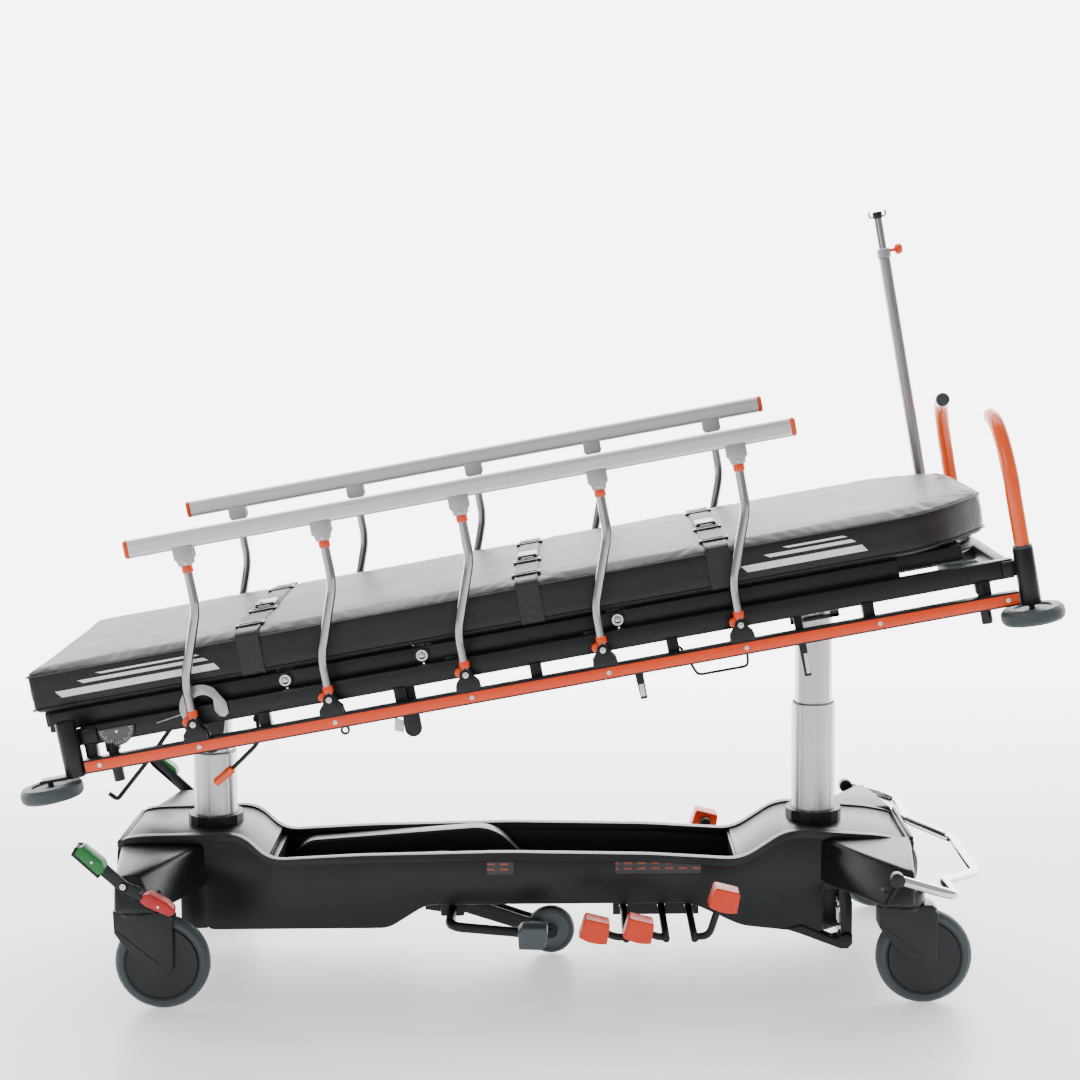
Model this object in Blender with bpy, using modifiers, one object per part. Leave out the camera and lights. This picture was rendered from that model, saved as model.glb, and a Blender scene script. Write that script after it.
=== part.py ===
"""Stretcher trolley: a moulded base on four swivel casters, two telescopic columns and a tilting platform.

Metres, +Z up, +X towards the head end. The origin lies on the floor under the middle of the trolley.
The platform's own frame is (u, y, w): u runs along the platform towards the head, w is square to it.
"""
import math

import bmesh
import bpy
from mathutils import Matrix, Vector

# ---- driving sizes -------------------------------------------------------------------------------
COLUMN_SPACING = 1.333
FOOT_COLUMN_X = -0.729
HEAD_COLUMN_X = FOOT_COLUMN_X + COLUMN_SPACING
PLATFORM_TILT = math.radians(9.91)
HINGE_Z = 0.505
HINGE_U = -0.039
HINGE_W = -0.102
CLEAR = 0.0004
RUN_CLEAR = 0.0008

# base
BODY_HALF_WIDTH = 0.140
COVER_WALL = 0.005
COVER_BOTTOM_LOW = 0.102
COVER_BOTTOM_HIGH = 0.154
HUMP_TOP = 0.318
TRAY_RIM = 0.272
TRAY_FLOOR = 0.200
TRAY_HALF_WIDTH = 0.122
ARM_REACH = 0.388
ARM_TOP_IN = 0.300
ARM_TOP_OUT = 0.292
ARM_BOTTOM = 0.220
FOOT_END = FOOT_COLUMN_X - 0.197
TRAY_FOOT = FOOT_COLUMN_X + 0.130
TRAY_HEAD = HEAD_COLUMN_X - 0.170
HEAD_END = HEAD_COLUMN_X + 0.205
CHASSIS_RAIL_Y = 0.060
CHASSIS_RAIL_WIDTH = 0.030
CHASSIS_RAIL_LOW = 0.158
CHASSIS_RAIL_TOP = 0.188
BEAM_WIDTH = 0.050
BEAM_HEIGHT = 0.026
BEAM_LOW = 0.224

# casters
WHEEL_RADIUS = 0.100
WHEEL_WIDTH = 0.034
CASTER_TRAIL = 0.047
CASTER_Y = 0.335
FOOT_STEM_X = FOOT_COLUMN_X - 0.112
HEAD_STEM_X = HEAD_COLUMN_X + 0.145
FORK_TOP = 0.216
FORK_CHEEK = 0.007
STEM_RADIUS = 0.012
AXLE_RADIUS = 0.006

# brake pedals at the foot end, and the bar at the head end
BRAKE_X = FOOT_STEM_X - 0.018
BRAKE_Z = 0.279
BRAKE_SHAFT = 0.0065
BRAKE_BAR_X = HEAD_STEM_X - 0.019
BRAKE_BAR_Z = 0.281
GREEN_SLOPE = math.radians(42.0)
RED_SLOPE = math.radians(26.0)
PEDAL_PLANE = 0.395

# pump and release pedals
PUMP_SHAFT = 0.0080
PUMP_SHAFTS = ((0.178, 0.126), (0.262, 0.126), (0.322, 0.126))
PEDAL_PADS = ((0.112, 0.158), (0.204, 0.158), (0.383, 0.222))
PEDAL_Y = 0.318
PAD_LENGTH = 0.058

# fifth wheel
FIFTH_RADIUS = 0.054
FIFTH_WIDTH = 0.028
FIFTH_X = 0.016
FIFTH_LIFT = 0.002
FIFTH_PIVOT_X = -0.200
FIFTH_PIVOT_Z = 0.128

# columns: outer radius of each stage, and the wall left around the next one
STAGE_RADII = (0.048, 0.045, 0.041)
STAGE_GAP = 0.0006
FOOT_MIDDLE_TOP = 0.474
HEAD_MIDDLE_TOP = 0.572
FOOT_COLUMN_FLOOR = 0.104
HEAD_COLUMN_FLOOR = 0.070
COLLAR_RADIUS = 0.062
SOCKET_RADIUS = 0.053
COLUMN_FEET = ((FOOT_COLUMN_X, FOOT_COLUMN_FLOOR), (HEAD_COLUMN_X, HEAD_COLUMN_FLOOR))
BRACKET_IN = 0.0430
BRACKET_OUT = 0.0510
HINGE_PIN_RADIUS = 0.010
SLOT_W = -0.055
HEAD_PIN_RADIUS = 0.008
HEAD_PIN_Z = (HINGE_Z + COLUMN_SPACING * math.tan(PLATFORM_TILT)
              + (SLOT_W - HINGE_W) / math.cos(PLATFORM_TILT))
HEAD_PIN_U = (HINGE_U + COLUMN_SPACING / math.cos(PLATFORM_TILT)
              + (SLOT_W - HINGE_W) * math.tan(PLATFORM_TILT))
SLOT_HALF = 0.012
SLOT_FOOT = HEAD_PIN_U - 0.042
SLOT_HEAD = HEAD_PIN_U + 0.026

# platform
FRAME_Y = 0.330
FRAME_WIDTH = 0.025
FRAME_LOW = -0.010
FRAME_TOP = 0.030
FRAME_FOOT = -0.240
FRAME_HEAD = 1.705
POST_CORNER_Y = 0.365
POST_CORNER_RADIUS = 0.021
POST_LOW = -0.065
POST_TOP = 0.052
HEAD_CORNER_U = 1.724
FOOT_CORNER_U = -0.260
BUMPER_RADIUS = 0.065
BUMPER_THICK = 0.032
BUMPER_W = -0.086
BUMPER_OFFSET = 0.056
HANDLE_RADIUS = 0.016
HANDLE_HEIGHT = 0.315
HANDLE_BEND = 0.080
CROSS_MEMBERS = (-0.205, 0.330, 0.800, 1.180, 1.690)
STANDOFFS = (-0.224, 0.142, 0.426, 0.710, 0.995, 1.400, 1.640)

# siderails
RAIL_Y = 0.362
POST_COUNT = 5
POST_PITCH = 0.2842
POST_RADIUS = 0.010
POST_HEIGHT = 0.3238
POST_LEAN = 0.0522
PIN_RADIUS = 0.004
EYE_RADIUS = 0.0050
CHEEK = 0.003
BAR_LOW = -0.062
BAR_TOP = -0.033
BAR_WIDTH = 0.028
BAR_FOOT = FOOT_CORNER_U + POST_CORNER_RADIUS + 2 * CLEAR
BAR_HEAD = HEAD_CORNER_U - POST_CORNER_RADIUS - 2 * CLEAR
TOP_RAIL_LOW = 0.0352
TOP_RAIL_HEIGHT = 0.037
TOP_RAIL_WIDTH = 0.025
TOP_RAIL_FOOT = -0.061
TOP_RAIL_HEAD = 1.310
LATCH_U = 0.046
LATCH_W = 0.012

# deck and mattress
DECK_PIVOT_W = 0.051
DECK_LOW = 0.036
DECK_TOP = 0.068
KNEE_U = 0.195
THIGH_U = 0.483
BACK_U = 0.893
DECK_FOOT = -0.315
DECK_HEAD = 1.615
DECK_HALF_WIDTH = 0.303
DECK_PANEL = 0.010
HINGE_RADIUS = 0.015
HINGE_PIN = 0.005
FLAT = 0.006
MATTRESS_HALF_WIDTH = 0.332
MATTRESS_LOW = 0.0705
MATTRESS_THICK = 0.090
MATTRESS_FOOT = -0.330
MATTRESS_HEAD = 1.690
MATTRESS_CORNER_U = 1.520
BACK_RISE = math.radians(70.0)
THIGH_RISE = math.radians(30.0)

# infusion pole
POLE_U = 1.645
POLE_Y = 0.306
POLE_RADIUS = 0.0135
ROD_RADIUS = 0.0095
POLE_TOP = 0.690
ROD_TOP = 0.767


# ---- scene and small tools -----------------------------------------------------------------------
for old in list(bpy.data.objects):
    bpy.data.objects.remove(old, do_unlink=True)

PARTS = bpy.data.collections.new("stretcher_trolley")
bpy.context.scene.collection.children.link(PARTS)


def material(name, colour, roughness, metallic=0.0):
    """A Principled material in one colour."""
    made = bpy.data.materials.new(name)
    made.use_nodes = True
    shader = made.node_tree.nodes["Principled BSDF"]
    shader.inputs["Base Color"].default_value = (*colour, 1.0)
    shader.inputs["Roughness"].default_value = roughness
    shader.inputs["Metallic"].default_value = metallic
    return made


FINISHES = {
    "moulded_black": material("moulded_black", (0.018, 0.019, 0.021), 0.42),
    "powder_black": material("powder_black", (0.020, 0.020, 0.022), 0.38, 0.3),
    "grey_rubber": material("grey_rubber", (0.075, 0.088, 0.100), 0.62),
    "orange": material("orange", (0.84, 0.115, 0.022), 0.30),
    "anodised": material("anodised", (0.72, 0.73, 0.75), 0.28, 1.0),
    "stainless": material("stainless", (0.60, 0.59, 0.57), 0.20, 1.0),
    "chrome": material("chrome", (0.85, 0.85, 0.86), 0.06, 1.0),
    "mattress_fabric": material("mattress_fabric", (0.022, 0.025, 0.030), 0.45),
}


def new_object(name, mesh):
    """Links a mesh as an object in the trolley's collection."""
    obj = bpy.data.objects.new(name, mesh)
    PARTS.objects.link(obj)
    return obj


def mesh_from(bm, name="piece"):
    """A closed mesh from bmesh, with its faces pointing outwards."""
    bmesh.ops.recalc_face_normals(bm, faces=bm.faces)
    mesh = bpy.data.meshes.new(name)
    bm.to_mesh(mesh)
    bm.free()
    return new_object(name, mesh)


def block(u, y, w):
    """A box from its (low, high) pair along each axis."""
    bm = bmesh.new()
    bmesh.ops.create_cube(bm, size=1.0)
    size = Vector((u[1] - u[0], y[1] - y[0], w[1] - w[0]))
    middle = Vector((u[0] + u[1], y[0] + y[1], w[0] + w[1])) / 2
    bmesh.ops.transform(bm, matrix=Matrix.Translation(middle) @ Matrix.Diagonal((*size, 1)), verts=bm.verts)
    return mesh_from(bm)


def mirrored(sign, low, high):
    """The (low, high) pair of a span on one side of the middle plane."""
    return (low, high) if sign > 0 else (-high, -low)


def rod(start, end, radius, sides=12, end_radius=None):
    """A round bar or cone between two points."""
    start, end = Vector(start), Vector(end)
    along = end - start
    bm = bmesh.new()
    bmesh.ops.create_cone(bm, cap_ends=True, segments=sides, radius1=radius,
                          radius2=radius if end_radius is None else end_radius, depth=along.length)
    half_step = Matrix.Rotation(math.pi / sides, 4, "Z")
    turn = along.to_track_quat("Z", "Y").to_matrix().to_4x4()
    bmesh.ops.transform(bm, matrix=Matrix.Translation((start + end) / 2) @ turn @ half_step, verts=bm.verts)
    return mesh_from(bm)


def outline(points, y_low, y_high):
    """A flat outline in the (u, w) plane, extruded across y."""
    curve = bpy.data.curves.new("outline", "CURVE")
    curve.dimensions = "2D"
    curve.fill_mode = "BOTH"
    curve.extrude = (y_high - y_low) / 2
    spline = curve.splines.new("POLY")
    spline.points.add(len(points) - 1)
    for point, (u, w) in zip(spline.points, points):
        point.co = (u, w, 0, 1)
    spline.use_cyclic_u = True
    flat = new_object("outline", curve)
    flat.matrix_world = Matrix.Translation((0, (y_low + y_high) / 2, 0)) @ Matrix.Rotation(math.pi / 2, 4,
                                                                                           "X")
    return solid_from_curve(flat)


def tube(points, radius, resolution=2):
    """A round bar along a list of points, with filled caps."""
    curve = bpy.data.curves.new("tube", "CURVE")
    curve.dimensions = "3D"
    curve.bevel_depth = radius
    curve.bevel_resolution = resolution
    curve.use_fill_caps = True
    spline = curve.splines.new("POLY")
    spline.points.add(len(points) - 1)
    for point, place in zip(spline.points, points):
        point.co = (*place, 1)
    return solid_from_curve(new_object("tube", curve))


def solid_from_curve(curved):
    """The closed mesh of a bevelled or filled curve, with its caps welded on."""
    bpy.context.view_layer.update()
    shape = curved.evaluated_get(bpy.context.evaluated_depsgraph_get())
    mesh = bpy.data.meshes.new_from_object(shape)
    mesh.transform(curved.matrix_world)
    bpy.data.objects.remove(curved, do_unlink=True)
    bm = bmesh.new()
    bm.from_mesh(mesh)
    bmesh.ops.remove_doubles(bm, verts=bm.verts, dist=0.00001)
    bmesh.ops.recalc_face_normals(bm, faces=bm.faces)
    bm.to_mesh(mesh)
    bm.free()
    return new_object("solid", mesh)


def turned(profile, steps=24):
    """A ring about the y axis from (radius, y) points that run round the wall's section."""
    bm = bmesh.new()
    rim = [bm.verts.new((radius, y, 0)) for radius, y in profile]
    for first, second in zip(rim, rim[1:] + rim[:1]):
        bm.edges.new((first, second))
    mesh = bpy.data.meshes.new("turned")
    bm.to_mesh(mesh)
    bm.free()
    ring = new_object("turned", mesh)
    screw = ring.modifiers.new("turn", "SCREW")
    screw.axis = "Y"
    screw.steps = steps
    screw.render_steps = steps
    screw.use_merge_vertices = True
    screw.merge_threshold = 0.00001
    return solid_from_curve(ring)


def combined(first, others, operation):
    """One solid after an exact Boolean of the first with each of the others."""
    for index, other in enumerate(others):
        step = first.modifiers.new(f"{operation.lower()}_{index}", "BOOLEAN")
        step.operation = operation
        step.solver = "EXACT"
        step.object = other
    bpy.context.view_layer.update()
    shape = first.evaluated_get(bpy.context.evaluated_depsgraph_get())
    mesh = bpy.data.meshes.new_from_object(shape)
    for used in (first, *others):
        bpy.data.objects.remove(used, do_unlink=True)
    bm = bmesh.new()
    bm.from_mesh(mesh)
    bmesh.ops.remove_doubles(bm, verts=bm.verts, dist=0.000002)
    bmesh.ops.dissolve_limit(bm, angle_limit=0.003, verts=bm.verts, edges=bm.edges)
    bmesh.ops.triangulate(bm, faces=bm.faces)
    bm.to_mesh(mesh)
    bm.free()
    return new_object("solid", mesh)


def joined(*pieces):
    """The pieces as one closed body."""
    return combined(pieces[0], pieces[1:], "UNION")


def cut(piece, *tools):
    """A piece with the tools taken out of it."""
    return combined(piece, tools, "DIFFERENCE")


def moved(piece, matrix):
    """A piece with its mesh placed by a matrix."""
    piece.data.transform(matrix)
    return piece


def empty(name, parent, place, tilt=0.0):
    """A joint's axis: an empty that the moving pieces hang from."""
    axis = bpy.data.objects.new(name, None)
    PARTS.objects.link(axis)
    axis.parent = parent
    axis.location = place
    axis.rotation_euler = (0, tilt, 0)
    return axis


def node(piece, name, finish, parent=None, origin=(0, 0, 0)):
    """Names a finished solid, gives it its material and hangs it at its joint."""
    piece.name = name
    piece.data.name = name
    piece.data.transform(Matrix.Translation(-Vector(origin)))
    piece.data.materials.clear()
    piece.data.materials.append(FINISHES[finish])
    piece.parent = parent
    piece.location = origin
    piece.data.shade_smooth()
    piece.data.set_sharp_from_angle(angle=math.radians(35))
    return piece


def arc(centre, radius, first, last, steps):
    """Points on an arc in a plane, angles in degrees."""
    angles = [math.radians(first + (last - first) * step / steps) for step in range(steps + 1)]
    return [(centre[0] + radius * math.cos(a), centre[1] + radius * math.sin(a)) for a in angles]


def smooth(value):
    """A step from 0 to 1 with level ends."""
    value = min(max(value, 0.0), 1.0)
    return value * value * (3 - 2 * value)


# ---- base ----------------------------------------------------------------------------------------

def cover_profile(inset):
    """The cover's side outline: two humps, the tray's rim between them and the stepped lower edge."""
    top = HUMP_TOP - inset
    rim = TRAY_RIM - inset
    drop = 0.050 if inset else 0.0
    low = COVER_BOTTOM_LOW - drop
    high = COVER_BOTTOM_HIGH - drop
    step = FOOT_COLUMN_X - SOCKET_RADIUS - 0.013 + inset
    pocket = HEAD_COLUMN_X + SOCKET_RADIUS + 0.019 - inset
    return [
        (FOOT_END + inset, 0.215 - drop), (FOOT_END + inset, top - 0.030), (FOOT_END + 0.030, top - 0.006),
        (TRAY_FOOT - 0.065, top), (TRAY_FOOT - 0.050, top - 0.004),
        (TRAY_FOOT, rim - 0.012), (TRAY_FOOT + 0.200, rim - 0.006), ((TRAY_FOOT + TRAY_HEAD) / 2, rim),
        (TRAY_HEAD - 0.200, rim - 0.008), (TRAY_HEAD + 0.010, rim - 0.020),
        (TRAY_HEAD + 0.090, top - 0.002), (TRAY_HEAD + 0.110, top), (HEAD_END - 0.070, top - 0.016),
        (HEAD_END - inset, top - 0.045), (HEAD_END - inset, 0.175 - drop), (pocket, 0.175 - drop),
        (pocket, 0.064 - drop), (HEAD_COLUMN_X + 0.045, 0.052 - drop), (HEAD_COLUMN_X - 0.050,
                                                                        0.092 - drop),
        (HEAD_COLUMN_X - 0.170, low),
        (TRAY_HEAD - 0.110, high), (TRAY_FOOT + 0.340, high), (TRAY_FOOT + 0.260, low),
        (step, low), (step, 0.190 - drop), (FOOT_END + 0.020, 0.215 - drop),
    ]


def arm(stem_x, reach_foot, reach_head, inset, side):
    """One outrigger: a box that narrows and drops from the body to the caster."""
    bm = bmesh.new()
    bmesh.ops.create_cube(bm, size=2.0)
    root = BODY_HALF_WIDTH - 0.012 - inset
    tip = ARM_REACH - inset
    for vert in bm.verts:
        out = vert.co.y * side > 0
        spread_foot = 0.058 if out else reach_foot
        spread_head = 0.058 if out else reach_head
        x = stem_x - spread_foot + inset if vert.co.x < 0 else stem_x + spread_head - inset
        top = (ARM_TOP_OUT if out else ARM_TOP_IN) - inset
        low = ARM_BOTTOM - (0.03 if inset else 0.0)
        vert.co = (x, side * (tip if out else root), top if vert.co.z > 0 else low)
    return mesh_from(bm)


def base_cover():
    """The moulded shell, open below, with the tray sunk between its humps."""
    width = BODY_HALF_WIDTH
    shell = outline(cover_profile(0), -width, width)
    arms = [arm(stem, foot, head, 0, side) for side in (-1, 1)
            for stem, foot, head in ((FOOT_STEM_X, 0.082, 0.100), (HEAD_STEM_X, 0.120, 0.056))]
    shell = joined(shell, *arms)
    inner = outline(cover_profile(COVER_WALL), -width + COVER_WALL, width - COVER_WALL)
    inner_arms = [arm(stem, foot, head, COVER_WALL, side) for side in (-1, 1)
                  for stem, foot, head in ((FOOT_STEM_X, 0.082, 0.100), (HEAD_STEM_X, 0.120, 0.056))]
    inner = joined(inner, *inner_arms)
    wall = COVER_WALL
    tray_bed = block((TRAY_FOOT + 0.016 - wall, TRAY_HEAD - 0.016 + wall),
                     (-TRAY_HALF_WIDTH - wall, TRAY_HALF_WIDTH + wall), (TRAY_FLOOR - wall, TRAY_RIM + 0.1))
    inner = cut(inner, tray_bed)
    tray = block((TRAY_FOOT + 0.016, TRAY_HEAD - 0.016), (-TRAY_HALF_WIDTH, TRAY_HALF_WIDTH),
                 (TRAY_FLOOR, TRAY_RIM + 0.1))
    holes = [rod((x, 0, 0.25), (x, 0, 0.36), COLLAR_RADIUS + CLEAR, 16) for x in (FOOT_COLUMN_X,
                                                                                  HEAD_COLUMN_X)]
    shaft = rod((BRAKE_X, -0.42, BRAKE_Z), (BRAKE_X, 0.42, BRAKE_Z), BRAKE_SHAFT + RUN_CLEAR, 12)
    head_shaft = rod((BRAKE_BAR_X, -0.42, BRAKE_BAR_Z), (BRAKE_BAR_X, 0.42, BRAKE_BAR_Z),
                     BRAKE_SHAFT + RUN_CLEAR, 12)
    return cut(shell, inner, tray, *holes, shaft, head_shaft)


def chassis():
    """Two long rails, a beam to the casters at each end, column seats, and hangers for the pedals."""
    outer = CHASSIS_RAIL_Y + CHASSIS_RAIL_WIDTH / 2
    inner = CHASSIS_RAIL_Y - CHASSIS_RAIL_WIDTH / 2
    ends = (FOOT_STEM_X - 0.020, HEAD_STEM_X + 0.020)
    pieces = [block(ends, mirrored(side, inner, outer),
                    (CHASSIS_RAIL_LOW, CHASSIS_RAIL_TOP)) for side in (-1, 1)]
    half = BEAM_WIDTH / 2
    for x in (FOOT_STEM_X, HEAD_STEM_X):
        reach = CASTER_Y + 0.032
        pieces.append(block((x - half, x + half), (-reach, reach), (BEAM_LOW, BEAM_LOW + BEAM_HEIGHT)))
        for side in (-1, 1):
            pieces.append(block((x - half + 0.004, x + half - 0.004),
                                mirrored(side, inner + 0.003, outer - 0.003),
                                (CHASSIS_RAIL_LOW + 0.006, BEAM_LOW + 0.010)))
    for x, floor in COLUMN_FEET:
        pieces.append(rod((x, 0, floor - 0.006), (x, 0, HUMP_TOP + 0.010), SOCKET_RADIUS, 16))
        pieces.append(rod((x, 0, HUMP_TOP - 0.022), (x, 0, HUMP_TOP + 0.016), COLLAR_RADIUS, 16))
    pieces.append(block((0.150, 0.350), (-inner - 0.004, inner + 0.004), (0.163, 0.183)))
    for side in (-1, 1):
        pieces.append(block((0.155, 0.345), mirrored(side, 0.050, 0.058), (0.106, 0.168)))
        pieces.append(block((FIFTH_PIVOT_X - 0.022, FIFTH_PIVOT_X + 0.022), mirrored(side, 0.050, 0.058),
                            (FIFTH_PIVOT_Z - 0.016, 0.168)))
    body = joined(*pieces)
    tools = [rod((x, 0, floor), (x, 0, HUMP_TOP + 0.05), STAGE_RADII[0] + STAGE_GAP, 20) for x,
             floor in COLUMN_FEET]
    for x in (FOOT_STEM_X, HEAD_STEM_X):
        for side in (-1, 1):
            tools.append(rod((x, side * CASTER_Y, 0.20), (x, side * CASTER_Y, 0.28),
                             STEM_RADIUS + RUN_CLEAR, 12))
    for x, z in PUMP_SHAFTS + ((FIFTH_PIVOT_X, FIFTH_PIVOT_Z),):
        tools.append(rod((x, -0.08, z), (x, 0.08, z), PUMP_SHAFT + RUN_CLEAR, 12))
    return cut(body, *tools)


def foot_pedal(shaft_place, pad_place):
    """A cross shaft with an arm and a rounded pad at each end."""
    x, z = shaft_place
    pad_x, pad_z = pad_place
    pieces = [rod((x, -0.296, z), (x, 0.296, z), PUMP_SHAFT, 12)]
    for side in (-1, 1):
        foot = (x, side * 0.288, z)
        pieces.append(rod(foot, (pad_x, side * 0.288, pad_z), 0.0070, 8))
        pieces.append(rod((pad_x, side * 0.280, pad_z), (pad_x, side * 0.306, pad_z), 0.009, 8))
        pad = rod((pad_x, side * (PEDAL_Y - PAD_LENGTH / 2 + 0.010), pad_z),
                  (pad_x, side * (PEDAL_Y + PAD_LENGTH / 2), pad_z), 0.027, 12, 0.024)
        pieces.append(pad)
    return joined(*pieces)


def caster(stem_x, side, label):
    """A fork with its stem and axle, and the wheel that runs in it."""
    y = side * CASTER_Y
    wheel_x = stem_x + CASTER_TRAIL
    gap = WHEEL_WIDTH / 2 + 0.003
    crown = rod((stem_x + 0.006, y, FORK_TOP - 0.016), (stem_x + 0.006, y, FORK_TOP), 0.034, 16, 0.030)
    stem = rod((stem_x, y, FORK_TOP - 0.008), (stem_x, y, BEAM_LOW + BEAM_HEIGHT - 0.002), STEM_RADIUS, 12)
    roof = block((stem_x - 0.030, wheel_x + 0.030), (y - gap - 0.004, y + gap + 0.004),
                 (2 * WHEEL_RADIUS + 0.0035, FORK_TOP - 0.003))
    cheeks = []
    plan = [(stem_x - 0.032, FORK_TOP - 0.005), (stem_x - 0.036, 0.150)]
    plan += arc((wheel_x, WHEEL_RADIUS), 0.034, 215, 360, 6)
    plan += [(wheel_x + 0.052, 0.165), (wheel_x + 0.036, FORK_TOP - 0.005)]
    for way in (-1, 1):
        span = sorted((y + way * gap, y + way * (gap + FORK_CHEEK)))
        cheeks.append(outline(plan, *span))
    axle = rod((wheel_x, y - gap - 0.003, WHEEL_RADIUS), (wheel_x, y + gap + 0.003, WHEEL_RADIUS),
               AXLE_RADIUS, 12)
    fork = joined(roof, *cheeks, crown, stem, axle)
    node(fork, f"caster_fork_{label}", "moulded_black", None, (stem_x, y, FORK_TOP))
    half = WHEEL_WIDTH / 2
    bore = AXLE_RADIUS + RUN_CLEAR
    section = [(bore, half), (0.78 * WHEEL_RADIUS, half - 0.004)]
    section += [(0.90 * WHEEL_RADIUS, half), (WHEEL_RADIUS, 0.010)]
    section += [(radius, -across) for radius, across in reversed(section)]
    wheel = moved(turned(section, 20), Matrix.Translation((wheel_x, y, WHEEL_RADIUS)))
    node(wheel, f"caster_wheel_{label}", "grey_rubber", None, (wheel_x, y, WHEEL_RADIUS))


def fifth_wheel():
    """The steering wheel under the middle: a forked arm on a cross pivot, its side pedal, and the wheel."""
    height = FIFTH_RADIUS + FIFTH_LIFT
    gap = FIFTH_WIDTH / 2 + 0.002
    pieces = [rod((FIFTH_PIVOT_X, -0.066, FIFTH_PIVOT_Z), (FIFTH_PIVOT_X, 0.066, FIFTH_PIVOT_Z), PUMP_SHAFT,
                  12)]
    plan = arc((FIFTH_PIVOT_X, FIFTH_PIVOT_Z), 0.016, 60, 240, 5) + arc((FIFTH_X, height), 0.016, 240, 420,
                                                                        5)
    for way in (-1, 1):
        pieces.append(outline(plan, *sorted((way * gap, way * (gap + 0.006)))))
    pieces.append(rod((FIFTH_X, -gap - 0.003, height), (FIFTH_X, gap + 0.003, height), AXLE_RADIUS, 12))
    middle = (FIFTH_PIVOT_X + 0.075, 0, FIFTH_PIVOT_Z - 0.026)
    pieces.append(rod((middle[0], gap + 0.003, middle[2]), (middle[0], -0.215, middle[2]), 0.009, 10))
    pieces.append(rod((middle[0], -0.215, middle[2]), (middle[0] + 0.060, -0.235, middle[2] + 0.010), 0.009,
                      10))
    arm_piece = joined(*pieces)
    node(arm_piece, "fifth_wheel_arm", "powder_black", None, (FIFTH_PIVOT_X, 0, FIFTH_PIVOT_Z))
    pad_x = middle[0] + 0.064 + 0.032
    pad = block((pad_x - 0.028, pad_x + 0.034), (-0.265, -0.215), (0.092, 0.142))
    pad = cut(pad, rod((middle[0], -0.215, middle[2]), (middle[0] + 0.062, -0.2357, middle[2] + 0.0103),
                       0.0098, 10))
    node(pad, "fifth_wheel_pedal", "grey_rubber", None, (FIFTH_PIVOT_X, 0, FIFTH_PIVOT_Z))
    half = FIFTH_WIDTH / 2
    bore = AXLE_RADIUS + RUN_CLEAR
    section = [(bore, half), (FIFTH_RADIUS - 0.004, half), (FIFTH_RADIUS, half - 0.006)]
    section += [(radius, -across) for radius, across in reversed(section)]
    wheel = moved(turned(section, 16), Matrix.Translation((FIFTH_X, 0, height)))
    node(wheel, "fifth_wheel", "grey_rubber", None, (FIFTH_X, 0, height))


def brake_pedals():
    """The through shaft at the foot end, with a bent rocker and its two pads on each side."""
    end = PEDAL_PLANE + 0.006
    pieces = [rod((BRAKE_X, -end, BRAKE_Z), (BRAKE_X, end, BRAKE_Z), BRAKE_SHAFT, 8)]
    shaft = Matrix.Translation((BRAKE_X, 0, BRAKE_Z))
    rise = shaft @ Matrix.Rotation(GREEN_SLOPE, 4, "Y")
    fall = shaft @ Matrix.Rotation(RED_SLOPE, 4, "Y")
    for side in (-1, 1):
        plane = mirrored(side, PEDAL_PLANE - 0.004, PEDAL_PLANE + 0.004)
        pad = mirrored(side, PEDAL_PLANE - 0.002, PEDAL_PLANE + 0.034)
        upper = outline([(-0.124, -0.008), (-0.128, 0.008), (-0.060, 0.012), (0.004, 0.011), (0.010, -0.011),
                         (-0.020, -0.012)], *plane)
        green = block((-0.124, -0.052), pad, (-0.004, 0.022))
        lower = outline([(-0.006, 0.010), (0.060, 0.012), (0.094, 0.008), (0.094, -0.004), (0.050, -0.010),
                         (-0.008, -0.010)], *plane)
        red = block((0.040, 0.118), pad, (-0.003, 0.018))
        pieces += [moved(joined(upper, green), rise), moved(joined(lower, red), fall)]
    return joined(*pieces)


def brake_bar():
    """The chrome bar across the head end, bent round the two casters, on its own cross pins."""
    x, z = BRAKE_BAR_X, BRAKE_BAR_Z
    half = [(x, 0.401, z), (x + 0.020, 0.402, z - 0.006), (x + 0.085, 0.402, 0.256)]
    half += [(x + 0.105, 0.397, 0.249)]
    half += [(x + 0.118, 0.386, 0.244), (x + 0.122, 0.370, 0.242), (x + 0.122, 0.262, 0.236)]
    half += [(x + 0.134, 0.244, 0.234), (x + 0.206, 0.150, 0.219), (x + 0.213, 0.134, 0.218)]
    path = [(along, -y, up) for along, y, up in half] + list(reversed(half))
    pins = [rod((x, side * 0.350, z), (x, side * 0.402, z), BRAKE_SHAFT, 12) for side in (-1, 1)]
    return joined(tube(path, 0.0105), *pins)


def stage(x, outer, inner, low, top):
    """One tube of a column."""
    pipe = rod((x, 0, low), (x, 0, top), outer, 16)
    return cut(pipe, rod((x, 0, low - 0.01), (x, 0, top + 0.01), inner, 16))


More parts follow.
